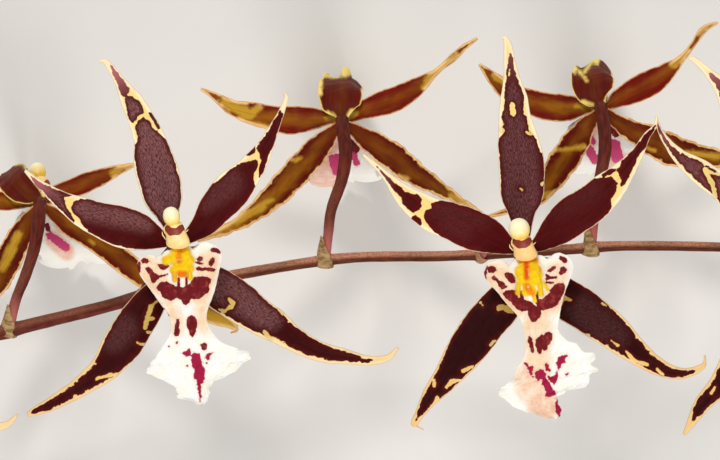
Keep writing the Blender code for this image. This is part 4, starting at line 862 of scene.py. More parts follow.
# Each flower stalk from the rachis to just behind its hub: x, y, z, radius.
STALKS = {
    1: ((-128, -38.6, 41.5, 1.3), (-130, -34, 49, 1.3), (-135, -26.5, 58, 1.5), (-139.8, -21, 63, 1.55)),
    2: (
        (-88, -24.8, 50, 1.3), (-86.25, -17.5, 52.5, 1.3), (-83.75, -11.25, 53.5, 1.4),
        (-81.5, -4, 52.5, 1.5), (-80.6, 2.5, 49, 1.6), (-80.5, 6, 45, 1.55),
    ),
    3: ((-55, -17, 50, 1.2), (-53, -13.5, 57, 1.3), (-49.2, -8, 66, 1.5), (-46, -4, 73, 1.55)),
    4: (
        (-8.75, -7.4, 50, 1.25), (-8, -1.25, 52.5, 1.25), (-7.2, 5, 53.8, 1.35), (-4.6, 12.5, 54, 1.5),
        (-3.6, 19, 51.5, 1.65), (-4.2, 24.5, 47.5, 1.65), (-4.5, 26.9, 44.6, 1.55),
    ),
    5: ((30.5, -6.3, 50, 1.2), (31.2, -4, 57, 1.3), (35, -3.2, 66, 1.5), (40.2, -4.6, 73, 1.55)),
    6: (
        (58, -4.5, 50, 1.25), (58.6, 3, 52.8, 1.3), (60, 12, 54, 1.45), (61.4, 20, 52, 1.6),
        (61.2, 26.5, 48, 1.6), (60.6, 30, 44.8, 1.55),
    ),
    7: ((98, -4.6, 49.6, 1.2), (98.8, -3.2, 57, 1.3), (103, -2.2, 66, 1.5), (109, -2.3, 72, 1.55)),
}

# A column's ring: x, y, height towards the flower's face, half width across, half width along.
COLUMN = (
    (0, 0, -HUB_BACK, 1.7, 1.7), (0, 0, 0, 1.7, 1.7), (0, 0, 2.2, 2.2, 1.5), (0.1, 0.1, 3.9, 2.9, 1.5),
    (0, 0.7, 5.4, 2.9, 1.9), (-0.4, 2.2, 6.6, 2.6, 1.9), (-0.8, 3.7, 7.6, 2.45, 1.9),
    (-1.1, 5, 8.3, 2, 1.6), (-1.2, 5.5, 8.5, 1.2, 1),
)
# A flower stalk's radius where it meets the hub.
HUB_RADIUS = 1.7
# The band over a column's neck, as capsules, and how high it starts.
COLUMN_BAND = (
    (-2.6, 3.9, -1.6, 3.1, 0.8, 0.95), (-1.6, 3.1, 0, 3.2, 0.95, 0.95), (0, 3.2, 0.9, 4.1, 0.95, 0.8),
)
BAND_FOOT = 4.0
# How orange a column's neck is.
PALE_NECK = 0.15
NECK_ORANGE = {5: 0.6, 7: 0.6}
# The thin rims beside a column's band: x, y, height, radius.
RIMS = (
    ((-2.6, 5.2, 7.4, 0.1), (-3.15, 4.3, 7, 0.24), (-3.3, 3.3, 6.5, 0.26), (-2.9, 2.3, 5.9, 0.12)),
    ((0.6, 5.2, 7.6, 0.1), (1.15, 4.4, 7.2, 0.24), (1.35, 3.4, 6.7, 0.26), (1.1, 2.4, 6.1, 0.12)),
    ((-3.9, 3.2, 6, 0.04), (-3.8, 2.4, 5.8, 0.14), (-3.2, 1.5, 5.2, 0.14), (-2.8, 0.9, 4.8, 0.05)),
    ((2.6, 3.7, 6.3, 0.04), (2.1, 3.2, 6.4, 0.14), (1.5, 2.7, 6.2, 0.14), (1.2, 2.2, 5.9, 0.05)),
)
# An anther cap: its middle, the way it points and its half measures.
CAP_PLACE = (-1.55, 6.9, 9.4)
CAP_WAY = (-0.25, 0.93, 0.55)
CAP_HALF_WIDTH = 2.1
CAP_HALF_HEIGHT = 1.9
CAP_HALF_LENGTH = 2.5
# How far a column's tip and its cap are off the usual place, and how much larger the cap is.
TIP_SHIFT = {1: (0.35, -0.3), 2: (0.7, 1), 3: (0.35, -0.3), 5: (0, -1.7), 7: (0, -1.7)}
CAP_SIZE = {5: 1.25, 7: 1.25}
# The way that bracts lean, and the size and tan of the ones in plain view and of the others.
BRACT_LEAN = (-1, -0.25, 0.4)
BIG_BRACT = (1, 1)
SMALL_BRACT = (0.72, 0.4)


def srgb(red, green, blue):
    """A linear colour from the 0 to 255 numbers that a colour picker shows."""
    linear = []
    for value in (red, green, blue):
        share = value / 255.0
        linear.append(share / 12.92 if share <= 0.04045 else ((share + 0.055) / 1.055) ** 2.4)
    return (*linear, 1.0)


class Paint:
    """A material under construction, with short calls for the nodes that it uses."""

    def __init__(self, name):
        self.material = bpy.data.materials.new(name)
        self.material.use_nodes = True
        self.tree = self.material.node_tree
        self.shader = self.tree.nodes["Principled BSDF"]

    def node(self, kind, inputs=(), **settings):
        found = self.tree.nodes.new("ShaderNode" + kind)
        for name, value in settings.items():
            setattr(found, name, value)
        for key, value in dict(inputs).items():
            self.feed(found.inputs[key], value)
        return found

    def feed(self, socket, value):
        if isinstance(value, bpy.types.NodeSocket):
            self.tree.links.new(value, socket)
        else:
            socket.default_value = value

    def value(self, name):
        return self.node("Attribute", attribute_name=name).outputs["Fac"]

    def grain(self, stretch=(1.0, 1.0, 1.0)):
        found = self.node("Attribute", attribute_name="grain").outputs["Vector"]
        return self.node("VectorMath", {0: found, 1: stretch}, operation="MULTIPLY").outputs["Vector"]

    def noise(self, vector, scale, detail, roughness):
        inputs = {"Vector": vector, "Scale": scale, "Detail": detail, "Roughness": roughness}
        return self.node("TexNoise", inputs).outputs["Fac"]

    def streaks(self, stretch, detail, roughness):
        """Noise stretched along and across a piece by its own grain."""
        return self.noise(self.grain(stretch), 1.0, detail, roughness)

    def math(self, operation, first, second):
        return self.node("Math", {0: first, 1: second}, operation=operation).outputs[0]

    def times(self, first, second):
        return self.math("MULTIPLY", first, second)

    def plus(self, first, second):
        return self.math("ADD", first, second)

    def minus(self, first, second):
        return self.math("SUBTRACT", first, second)

    def spread(self, value, low, high, to_low=0.0, to_high=1.0):
        """The value carried smoothly from one range to another."""
        inputs = {"Value": value, "From Min": low, "From Max": high, "To Min": to_low, "To Max": to_high}
        return self.node("MapRange", inputs, interpolation_type="SMOOTHSTEP").outputs["Result"]

    def mix(self, share, first, second):
        found = self.node("Mix", data_type="RGBA")
        self.feed(found.inputs["Factor"], share)
        self.feed(found.inputs[6], first)
        self.feed(found.inputs[7], second)
        return found.outputs[2]

    def finish(self, colour, roughness, height, depth, **settings):
        """The finished material. depth: how many metres its bumps stand proud where height is 1."""
        bump = self.node("Bump", {"Height": height, "Distance": depth, "Strength": 1.0})
        self.feed(self.shader.inputs["Base Color"], colour)
        self.feed(self.shader.inputs["Roughness"], roughness)
        self.feed(self.shader.inputs["Normal"], bump.outputs["Normal"])
        for name, value in settings.items():
            self.shader.inputs[name.replace("_", " ")].default_value = value
        return self.material


def blotch_depths(paint):
    """How deep a point lies in a tepal's dark blotches, from its border and from its cuts, in millimetres."""
    coarse = paint.minus(paint.streaks((0.55, 0.75, 1.0), 1.0, 0.5), 0.5)
    fine = paint.minus(paint.streaks((1.3, 1.7, 1.0), 2.0, 0.6), 0.5)
    wander = paint.plus(paint.times(coarse, 1.9), paint.times(fine, 1.1))
    room = paint.spread(paint.value("edge"), 0.0, 1.2, 0.12, 1.0)
    border = paint.plus(paint.value("border"), paint.times(wander, room))
    return border, paint.plus(paint.value("cut"), paint.times(wander, 0.5))


def tepal_face():
    """The face of a sepal or petal: maroon blotches with a painted grey sheen, cream between them."""
    paint = Paint("tepal_face")
    edge = paint.value("edge")
    place = paint.math("MINIMUM", *blotch_depths(paint))
    share = paint.spread(place, -0.07, 0.07)
    streaks = paint.streaks((0.16, 2.4, 1.0), 3.0, 0.6)
    grains = paint.streaks((1.1, 5.5, 1.0), 3.0, 0.75)
    veins = paint.streaks((0.07, 1.4, 1.0), 1.0, 0.4)

    maroon = paint.mix(paint.value("tone"), srgb(42, 2, 3), srgb(94, 6, 7))
    maroon = paint.mix(paint.spread(streaks, 0.3, 0.7, 0.45, 0.0), maroon, srgb(30, 1, 2))
    rim = paint.spread(paint.math("MINIMUM", place, paint.times(edge, 0.8)), 1.3, 0.1)
    # Painted sheen: a grey highlight painted over the maroon, broken up by grains and veins and kept off the
    # rims.
    painted_sheen = paint.times(paint.value("painted_sheen"), paint.spread(grains, 0.36, 0.62, 0.0, 1.15))
    painted_sheen = paint.times(painted_sheen, paint.spread(veins, 0.35, 0.6, 0.85, 1.0))
    painted_sheen = paint.times(painted_sheen, paint.minus(1.0, paint.times(rim, 0.9)))
    maroon = paint.mix(paint.times(rim, 0.35), maroon, srgb(104, 12, 12))
    maroon = paint.mix(painted_sheen, maroon, srgb(140, 92, 92))
    # Painted highlight: the blotches near the tip painted pinker, a sheen.
    maroon = paint.mix(paint.value("painted_tip_sheen"), maroon, srgb(176, 100, 104))

    cream = paint.mix(paint.spread(edge, 1.5, 0.2), srgb(248, 218, 136), srgb(255, 240, 200))
    cream = paint.mix(paint.spread(streaks, 0.45, 0.75, 0.0, 0.35), cream, srgb(226, 168, 92))
    cream = paint.mix(paint.value("gilding"), cream, srgb(222, 168, 82))
    cream = paint.mix(paint.value("olive"), cream, srgb(176, 152, 62))
    cream = paint.mix(paint.spread(edge, 0.16, 0.04, 0.0, 0.4), cream, srgb(206, 128, 96))
    colour = paint.mix(share, cream, maroon)

    height = paint.plus(paint.times(grains, 0.8), paint.times(streaks, 0.5))
    rough = paint.spread(grains, 0.3, 0.7, 0.40, 0.58)
    return paint.finish(colour, rough, height, TEPAL_BUMP, Specular_IOR_Level=0.08)


def tepal_back():
    """The back of a sepal or petal: red brown with a gold midline and pale borders."""
    paint = Paint("tepal_back")
    border, cut = blotch_depths(paint)
    edge = paint.value("edge")
    gilding = paint.value("gilding")
    share = paint.times(paint.spread(border, -0.12, 0.3), paint.spread(cut, -0.5, 0.6))
    streaks = paint.streaks((0.12, 1.9, 1.0), 3.0, 0.6)
    clouds = paint.streaks((0.14, 0.3, 1.0), 2.0, 0.5)
    grains = paint.streaks((2.6, 4.4, 1.0), 2.0, 0.6)

    brown = paint.mix(paint.value("tone"), srgb(84, 20, 2), srgb(120, 10, 4))
    brown = paint.mix(paint.spread(edge, 1.3, 0.2, 0.0, 0.5), brown, srgb(124, 18, 8))
    brown = paint.mix(paint.spread(streaks, 0.3, 0.65, 0.55, 0.0), brown, srgb(58, 8, 2))
    middle = paint.spread(paint.value("middle"), 2.3, 0.1)
    middle = paint.times(middle, paint.spread(clouds, 0.3, 0.65, 0.4, 1.0))
    brown = paint.mix(paint.times(middle, gilding), brown, srgb(166, 106, 12))
    clouded = paint.times(paint.spread(clouds, 0.45, 0.7, 0.0, 0.8), gilding)
    clouded = paint.times(clouded, paint.spread(edge, 0.3, 1.6))
    brown = paint.mix(clouded, brown, srgb(148, 88, 10))

    gold = paint.mix(paint.spread(edge, 1.2, 0.2), srgb(196, 152, 44), srgb(252, 210, 142))
    gold = paint.mix(paint.spread(streaks, 0.45, 0.7, 0.0, 0.6), gold, srgb(172, 98, 20))
    gold = paint.mix(paint.spread(edge, 0.2, 0.04, 0.0, 0.35), gold, srgb(190, 90, 60))
    # Painted light: the gold of a hanging dorsal sepal painted brighter, where its knob and horn lie in
    # shade.
    gold = paint.mix(paint.value("glow"), gold, srgb(255, 228, 120))
    colour = paint.mix(share, gold, brown)

    height = paint.plus(paint.times(grains, 0.5), paint.times(streaks, 0.7))
    rough = paint.spread(grains, 0.3, 0.7, 0.42, 0.58)
    return paint.finish(colour, rough, height, TEPAL_BUMP, Specular_IOR_Level=0.08)


def lip_skin(name, magenta_colour, peach_colour):
    """The lip: white to peach, with crimson and magenta spots and the yellow callus."""
    paint = Paint(name)
    fine = paint.grain()
    wander = paint.minus(paint.noise(fine, 1.3, 3.0, 0.6), 0.5)
    reach = paint.spread(paint.value("magenta"), 0.0, 1.0, 0.7, 1.3)
    spots = paint.plus(paint.value("spot"), paint.times(wander, reach))
    clouds = paint.noise(fine, 0.35, 3.0, 0.55)
    patches = paint.noise(fine, 0.35, 3.0, 0.6)
    grains = paint.noise(fine, 5.0, 2.0, 0.6)

    white = paint.mix(paint.spread(clouds, 0.35, 0.7), srgb(255, 254, 250), srgb(255, 250, 234))
    peach = paint.times(paint.value("peach"), paint.spread(clouds, 0.25, 0.65, 0.6, 1.0))
    mottled = paint.times(peach, paint.spread(grains, 0.3, 0.65, 0.45, 1.0))
    skin = paint.mix(mottled, white, peach_colour)
    rosy = paint.times(paint.value("rosy"), paint.spread(patches, 0.4, 0.68, 0.1, 0.6))
    skin = paint.mix(rosy, skin, srgb(232, 178, 168))

    crimson = paint.mix(paint.spread(grains, 0.3, 0.7), srgb(90, 0, 8), srgb(126, 2, 18))
    faded = paint.spread(paint.noise(fine, 0.5, 3.0, 0.7), 0.5, 0.68, 0.0, 0.55)
    crimson = paint.mix(faded, crimson, srgb(176, 66, 62))
    spotted = paint.mix(paint.value("magenta"), crimson, magenta_colour)
    halo = paint.spread(spots, -0.7, 0.0, 0.0, 0.3)
    skin = paint.mix(halo, skin, srgb(243, 168, 140))
    skin = paint.mix(paint.spread(spots, -0.06, 0.06), skin, spotted)

    yellow = paint.mix(paint.spread(grains, 0.35, 0.65), srgb(252, 196, 0), srgb(255, 224, 16))
    orange = paint.mix(paint.value("core"), yellow, srgb(236, 92, 4))
    colour = paint.mix(paint.value("callus"), skin, orange)
    height = paint.plus(paint.times(grains, 0.6), paint.noise(fine, 1.1, 3.0, 0.6))
    return paint.finish(
        colour, paint.spread(grains, 0.3, 0.7, 0.38, 0.55), height, LIP_BUMP,
        Subsurface_Weight=0.08, Subsurface_Scale=0.0006, Specular_IOR_Level=0.2,
    )


def column_skin():
    """The column: cream to orange neck with a red brown band under the cap."""
    paint = Paint("column_skin")
    fine = paint.grain()
    grains = paint.noise(fine, 3.0, 2.0, 0.6)
    clouds = paint.noise(fine, 0.8, 2.0, 0.5)
    neck = paint.mix(paint.spread(clouds, 0.3, 0.8), srgb(255, 236, 170), srgb(255, 212, 130))
    orange = paint.times(paint.value("orange"), paint.spread(clouds, 0.2, 0.7, 1.0, 0.5))
    neck = paint.mix(orange, neck, srgb(252, 170, 72))
    neck = paint.mix(paint.value("hub"), neck, srgb(92, 34, 14))
    band = paint.plus(paint.value("spot"), paint.times(paint.minus(clouds, 0.5), 0.5))
    brown = paint.mix(grains, srgb(96, 8, 2), srgb(160, 44, 2))
    colour = paint.mix(paint.spread(band, -0.08, 0.08), neck, brown)
    return paint.finish(colour, paint.spread(grains, 0.3, 0.7, 0.32, 0.5), grains, COLUMN_BUMP)


def cap_skin():
    """The anther cap: cream above, yellow towards its lower end."""
    paint = Paint("cap_skin")
    grains = paint.noise(paint.grain(), 3.0, 2.0, 0.6)
    colour = paint.mix(paint.value("core"), srgb(255, 250, 212), srgb(250, 204, 60))
    colour = paint.mix(paint.spread(grains, 0.4, 0.75, 0.0, 0.25), colour, srgb(244, 200, 110))
    return paint.finish(colour, paint.spread(grains, 0.3, 0.7, 0.3, 0.45), grains, CAP_BUMP)


def stem_skin():
    """The stem: speckled, mauve on its upper side and brown below, partly its own flush and partly painted
    light and shade. A bract's is tan.
    """
    paint = Paint("stem_skin")
    streaks = paint.streaks((0.3, 1.2, 1.2), 2.0, 0.5)
    speckles = paint.streaks((1.6, 2.6, 2.6), 3.0, 0.7)
    # Mauve above, brown below: partly the stem's own flush, partly painted light and shade.
    flush_and_lit_side = paint.spread(paint.value("flush_and_lit_side"), 0.30, 0.72)
    mauve = paint.mix(paint.spread(speckles, 0.36, 0.62), srgb(158, 100, 74), srgb(204, 146, 116))
    brown = paint.mix(paint.spread(streaks, 0.3, 0.7), srgb(72, 24, 8), srgb(104, 46, 16))
    colour = paint.mix(flush_and_lit_side, brown, mauve)
    # Darker maroon: on a flower stalk towards its top, and on the rachis's left part a painted shade under
    # the flowers.
    maroon = paint.mix(paint.spread(streaks, 0.3, 0.7), srgb(74, 18, 10), srgb(104, 34, 18))
    colour = paint.mix(paint.value("maroon"), colour, maroon)
    colour = paint.mix(paint.value("rosy"), colour, srgb(206, 116, 110))
    tan = paint.mix(paint.spread(streaks, 0.4, 0.65), srgb(182, 148, 104), srgb(126, 100, 60))
    colour = paint.mix(paint.value("tan"), colour, tan)
    height = paint.plus(streaks, paint.times(speckles, 0.5))
    rough = paint.spread(speckles, 0.3, 0.7, 0.45, 0.65)
    return paint.finish(colour, rough, height, STEM_BUMP, Specular_IOR_Level=0.14)


def floor_finish():
    paint = Paint("floor_finish")
    clouds = paint.noise(paint.node("TexCoord").outputs["Object"], 14.0, 4.0, 0.6)
    colour = paint.mix(clouds, srgb(222, 220, 216), srgb(230, 228, 224))
    return paint.finish(colour, 0.85, clouds, FLOOR_BUMP)


def steps(count):
    """Even places from 0 to 1, one for each row of a grid."""
    return np.linspace(0.0, 1.0, count)[:, None]


def clamp(values):
    return np.clip(values, 0.0, 1.0)


def bell(distance, width):
    return np.exp(-((distance / width) ** 2))


def soft(distance, width):
    """1 inside a shape, falling smoothly to 0 at this width outside it."""
    t = clamp(1.0 - distance / width)
    return t * t * (3 - 2 * t)


def waves(place, seed):
    """A smooth irregular wave between about -1 and 1, the same on each run."""
    phases = np.random.default_rng(seed).uniform(0, math.tau, len(WAVE_PITCHES))
    parts = zip(WAVE_PITCHES, WAVE_SHARES, phases)
    return sum(share * np.sin(math.tau * place * pitch + phase) for pitch, share, phase in parts)


def edge_waves(u, left, right):
    """A wave of its own for each edge of a blade, each from its place and its seed."""
    return np.where(u < 0, waves(*left), waves(*right))


def unit(vectors):
    return vectors / np.linalg.norm(vectors, axis=-1, keepdims=True)


def lengths_along(line):
    return np.concatenate(((0.0,), np.cumsum(np.linalg.norm(np.diff(line, axis=0), axis=1))))


def smooth_rows(rows, count):
    """Rows read at even steps along one smooth curve through the given rows."""
    rows = np.array(rows, float)
    last = len(rows) - 1
    along = lengths_along(rows[:, :3])
    low = np.maximum(np.arange(last + 1) - 1, 0)
    high = np.minimum(np.arange(last + 1) + 1, last)
    slopes = (rows[high] - rows[low]) / (along[high] - along[low])[:, None]
    place = np.linspace(0.0, along[-1], count)
    cell = np.clip(np.searchsorted(along, place) - 1, 0, last - 1)
    length = (along[cell + 1] - along[cell])[:, None]
    t = (place - along[cell])[:, None] / length
    start = 2 * t**3 - 3 * t**2 + 1
    leave = (t**3 - 2 * t**2 + t) * length * slopes[cell]
    arrive = (t**3 - t**2) * length * slopes[cell + 1]
    return start * rows[cell] + leave + (1 - start) * rows[cell + 1] + arrive


def tangents(points):
    ends = np.concatenate((points[:1], points, points[-1:]))
    return unit(ends[2:] - ends[:-2])


def carried_sides(ways, first_side):
    """One crosswise direction for each station, turning as little as it can along the way."""
    sides = []
    side = np.array(first_side, float)
    for way in ways:
        side = unit(side - way * side.dot(way))
        sides.append(side)
    return np.array(sides)


def in_plan(points, centre):
    return points[..., 0] - centre[0], points[..., 1] - centre[1]


def capsule_distance(x, y, capsule):
    """How far points are outside a capsule in plan, negative inside it."""
    x0, y0, x1, y1, r0, r1 = capsule
    dx, dy = x1 - x0, y1 - y0
    reach = max(dx * dx + dy * dy, 1e-9)
    t = clamp(((x - x0) * dx + (y - y0) * dy) / reach)
    return np.hypot(x - x0 - t * dx, y - y0 - t * dy) - (r0 + t * (r1 - r0))


def nearest(x, y, capsules):
    """The distance to the nearest of the capsules, far away where there are none."""
    found = np.full(x.shape, FAR)
    for capsule in capsules:
        found = np.minimum(found, capsule_distance(x, y, capsule))
    return found


def inside_outlines(x, y, outlines):
    """How far points are inside the nearest of the closed outlines in plan, negative outside them all."""
    found = np.full(x.shape, -FAR)
    for points in outlines:
        distance = np.full(x.shape, FAR)
        inside = np.zeros(x.shape, bool)
        for (x0, y0), (x1, y1) in zip(points, points[1:] + points[:1]):
            distance = np.minimum(distance, capsule_distance(x, y, (x0, y0, x1, y1, 0.0, 0.0)))
            if y0 != y1:
                inside ^= ((y0 > y) != (y1 > y)) & (x < (x1 - x0) * (y - y0) / (y1 - y0) + x0)
        found = np.maximum(found, np.where(inside, distance, -distance))
    return found


def tube_faces(rings, sides):
    """Faces of a tube of rings of points, closed with one face at each end."""
    index = np.arange(rings * sides).reshape(rings, sides)
    after = np.roll(index, -1, axis=1)
    faces = np.stack((index[:-1], index[1:], after[1:], after[:-1]), axis=-1).reshape(-1, 4).tolist()
    return faces + [index[0].tolist(), index[-1][::-1].tolist()]


def turn_outwards(mesh):
    form = bmesh.new()
    form.from_mesh(mesh)
    if form.calc_volume(signed=True) < 0:
        mesh.flip_normals()
    form.free()
    mesh.update()


def piece(name, rings, materials, numbers, grain, node, material_index=None):
    """A finished piece from rings of points in the table frame, standing for its node.

    numbers: what its materials read, each a value for all points, for each ring or for each point.
    """
    mesh = bpy.data.meshes.new(name)
    mesh.from_pydata(((rings.reshape(-1, 3) + TO_WORLD) * MM).tolist(), [], tube_faces(*rings.shape[:2]))
    for key, values in numbers.items():
        spread = np.broadcast_to(np.asarray(values, np.float32), rings.shape[:2])
        mesh.attributes.new(key, "FLOAT", "POINT").data.foreach_set("value", spread.ravel())
    field = mesh.attributes.new("grain", "FLOAT_VECTOR", "POINT")
    field.data.foreach_set("vector", np.asarray(grain, np.float32).ravel())
    for material in materials:
        mesh.materials.append(material)
    if material_index is not None:
        mesh.polygons.foreach_set("material_index", material_index)
    mesh.polygons.foreach_set("use_smooth", [True] * len(mesh.polygons))
    turn_outwards(mesh)
    obj = bpy.data.objects.new(name, mesh)
    bpy.context.scene.collection.objects.link(obj)
    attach(obj, "root")
    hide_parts(node)


def blade_rings(face, back, edge_out):
    """Rings round a blade: its face from left to right, its rounded edge, its back, and the other edge."""
    left = (face[:, :1] + back[:, :1]) / 2 - edge_out[:, None]
    right = (face[:, -1:] + back[:, -1:]) / 2 + edge_out[:, None]
    return np.concatenate((face, right, back[:, ::-1], left), axis=1)


def round_blade(values):
    """Numbers for the points of blade_rings, from a grid of one side's numbers."""
    return np.concatenate((values, values[:, -1:], values[:, ::-1], values[:, :1]), axis=1)


def blade(node, face, back, edge_out, materials, numbers, grain, material_index=None):
    """The closed blade between a face and a back, its numbers and grain given for one side."""
    painted = {key: round_blade(np.broadcast_to(values, face.shape[:2])) for key, values in numbers.items()}
    rings = blade_rings(face, back, edge_out)
    piece(node + "_skin", rings, materials, painted, round_blade(grain), node, material_index)


def margin_width(t, u, margins):
    table = np.array(margins)
    left = np.interp(t, table[:, 0], table[:, 1])
    right = np.interp(t, table[:, 0], table[:, 2])
    return left * (1 - (u + 1) / 2) + right * (u + 1) / 2


def draw_back(t, u, paint):
    """How far the hanging part of a back flower's dorsal sepal is bent out of sight at its edges."""
    left, right, shoulders = paint["cup"]
    place, width, power = paint["knob"]
    edges = np.where(u > 0, left, right) * np.abs(u) ** 3 * clamp((t - 0.12) * 6)
    knob = np.exp(-(((u - place) / width) ** power))
    horn = soft(np.abs(u - 1.0), HORN_WIDTH)
    return edges + shoulders * (1 - knob - 0.5 * horn) * clamp((t - 0.32) * 8)


def tepal_numbers(t, u, across, edge, plan, paint):
    """What a tepal's materials read: distances in millimetres, and shares from 0 to 1."""
    off_cuts = nearest(*plan, paint["cuts"])
    cut = off_cuts
    if paint["blotches"]:
        cut = np.minimum(cut, inside_outlines(*plan, paint["blotches"]) + OUTLINE_GAIN)
    margin = np.maximum(margin_width(t, u, paint["margins"]) - MARGIN_BLUR, LEAST_MARGIN)
    return {
        "border": edge - margin,
        "cut": cut,
        "edge": edge,
        "middle": np.abs(across),
        # Painted light: how much brighter a hanging dorsal sepal's gold is painted.
        "glow": paint["glow"],
        "gilding": np.interp(t, (0.0, 0.75), paint["gilding"]),
        # Painted sheen: where a grey highlight is painted, fading out past its capsules.
        "painted_sheen": soft(nearest(*plan, paint["painted_sheen"]), PAINTED_SHEEN_FADE) * paint["painted_sheen_strength"],
        # Painted highlight: a pink sheen on the blotches near the tip.
        "painted_tip_sheen": clamp((t - 0.74) / 0.14) * paint["painted_tip_sheen"],
        "tone": paint["tone"],
        "olive": clamp((0.5 - off_cuts) / 0.5) * clamp((0.62 - t) / 0.2) * 0.5,
    }


def tepal(node, centre, facing, rows, paint, seed, materials, detail):
    """A sepal or petal: a thin blade with a groove along its face and a keel along its back."""
    if facing < 0:
        x, y, z, half_width = rows[0]
        rows = ((FOOT_PLACE * x, FOOT_PLACE * y, z + FOOT_RISE, FOOT_WIDTH * half_width),) + rows
    stations, cells = detail
    table = smooth_rows(rows, stations)
    line = table[:, :3] + centre
    half = np.maximum(table[:, 3], LEAST_HALF_WIDTH)[:, None]
    ways = tangents(line)
    sides = carried_sides(ways, np.cross(ways[0], (0.0, 0.0, facing)))
    normals = np.cross(sides, ways)[:, None]
    t = steps(stations)
    along = t * np.linalg.norm(np.diff(line, axis=0), axis=1).sum()
    even = np.linspace(-1.0, 1.0, cells + 1)
    u = (0.8 * even + 0.2 * np.sin(even * math.pi / 2))[None, :]

    wave = paint["wave"]
    pitch = CALM_PITCH if wave < 0.5 else WAVY_PITCH
    fade = clamp(t * 6) * clamp((1 - t) * 6)
    side_wave = edge_waves(u, (along / pitch, seed), (along / pitch, seed + 100)) * fade
    outline = 1 + 0.30 * side_wave * wave / half.clip(1.0) * np.abs(u) ** 2
    across = u * half * outline
    lift = -TEPAL_EDGE_BEND * half * u**2 + wave * side_wave * np.abs(u) ** 3
    lift = lift + 0.10 * waves(along / 4.0 + u * 0.6, seed + 7) * fade
    middle = line[:, None] + sides[:, None] * across[..., None] + normals * lift[..., None]
    middle[..., 1] = middle[..., 1] - draw_back(t, u, paint)
    middle[..., 2] = np.maximum(middle[..., 2], FLOOR_CLEARANCE)

    groove = bell(across, GROOVE_WIDTH) * fade
    thick = TEPAL_EDGE_THICKNESS + (TEPAL_MIDDLE_THICKNESS - TEPAL_EDGE_THICKNESS) * (1 - u**2)
    thick = thick * np.clip(half / 0.8, 0.45, 1.0)
    face = middle + normals * (thick / 2 - GROOVE_DEPTH * groove)[..., None]
    back = middle - normals * (thick / 2 + KEEL_HEIGHT * groove)[..., None]
    edge = half * outline * (1 - np.abs(u))
    numbers = tepal_numbers(t, u, across, edge, in_plan(middle, centre), paint)
    grain = np.stack(np.broadcast_arrays(along, across, seed * 13.0), axis=-1)
    count = cells + 1
    index = ([0] * count + [1] * (count + 1) + [0]) * (stations - 1) + [0, 0]
    blade(node, face, back, sides * 0.06, materials, numbers, grain, index)


def ridge_height(x, y, ridges):
    """The callus over the lip: the sum of its ridges, and how yellow a point of it is."""
    height = np.zeros(x.shape)
    yellow = np.zeros(x.shape)
    for x0, y0, x1, y1, radius, top in ridges:
        distance = capsule_distance(x, y, (x0, y0, x1, y1, 0.0, 0.0))
        height = np.maximum(height, top * bell(distance, radius) + height * 0.25)
        yellow = np.maximum(yellow, soft(distance - 0.7 * radius, 0.55 * radius))
    return height, yellow


def lip_sheet(number, middle, normals, u, numbers, material):
    """The closed sheet of a lip round its middle surface, thicker at its callus."""
    sides = unit(middle[:, -1] - middle[:, 0])
    thick = (LIP_EDGE_THICKNESS + LIP_BELLY * (1 - u**2) + 0.5 * numbers["callus"])[..., None]
    face = middle + normals * thick / 2
    back = middle - normals * thick / 2
    grain = middle - middle.reshape(-1, 3).mean(axis=0) + number * 17.0
    blade(f"flower_{number}_lip", face, back, sides * 0.08, [material], numbers, grain)


def middle_lobe(t):
    return soft(np.abs(t - 0.80) - 0.14, 0.1)


def front_lip_plan(number, outline, t, v):
    """x and y over a front lip: its outline with a jagged edge, and a dip beside each side lobe."""
    edges = np.array(outline)
    middle = (edges[:, :2] + edges[:, 2:]) / 2
    rows = smooth_rows(np.column_stack((middle, np.zeros(len(middle)), edges)), len(t))
    x = rows[:, 3:4] * (1 - v) + rows[:, 5:6] * v
    y = rows[:, 4:5] * (1 - v) + rows[:, 6:7] * v
    u = 2 * v - 1
    frill = np.abs(u) ** 5 * clamp(t * 12)
    jag = edge_waves(u, (t * 9.0, number), (t * 8.0, number + 40))
    fine_jag = edge_waves(u, (t * 26.0, number + 3), (t * 23.0, number + 43))
    low_lobe = middle_lobe(t)
    x = x + u * frill * (0.30 * jag * low_lobe + 0.24 * fine_jag * (0.2 + low_lobe))
    dips = 1.6 * bell(v - 0.175, 0.07) + 1.3 * bell(v - 0.81, 0.07)
    return x, y - clamp(1 - t / 0.09) * dips


def front_lip_height(number, t, v, y):
    """A front lip's height without its callus: its long curve, raised edges, ruffles and ripples."""
    u = 2 * v - 1
    low_lobe = middle_lobe(t)
    heights = np.array(LIP_HEIGHTS_FRONT)
    z = np.interp(y, heights[:, 0], heights[:, 1])
    z = z + 0.9 * u**2
    side_lobes = soft(np.abs(t - 0.12) - 0.10, 0.12)
    z = z + 0.8 * side_lobes * np.abs(u) ** 4
    ruffle = edge_waves(u, (t * 6.0, number + 11), (t * 5.5, number + 51))
    z = z + np.abs(u) ** 3 * ruffle * (0.35 + 0.75 * low_lobe)
    z = z + 0.12 * waves(t * 7 + v * 2.0, number + 60) + 0.10 * waves(v * 5 + t * 2.0, number + 61)
    z = z + 0.16 * low_lobe * waves(v * 9 + t * 1.5, number + 62)
    waist_fold = bell(v - 0.5, 0.10) * soft(np.abs(t - 0.48) - 0.1, 0.1)
    return z - 0.3 * waist_fold


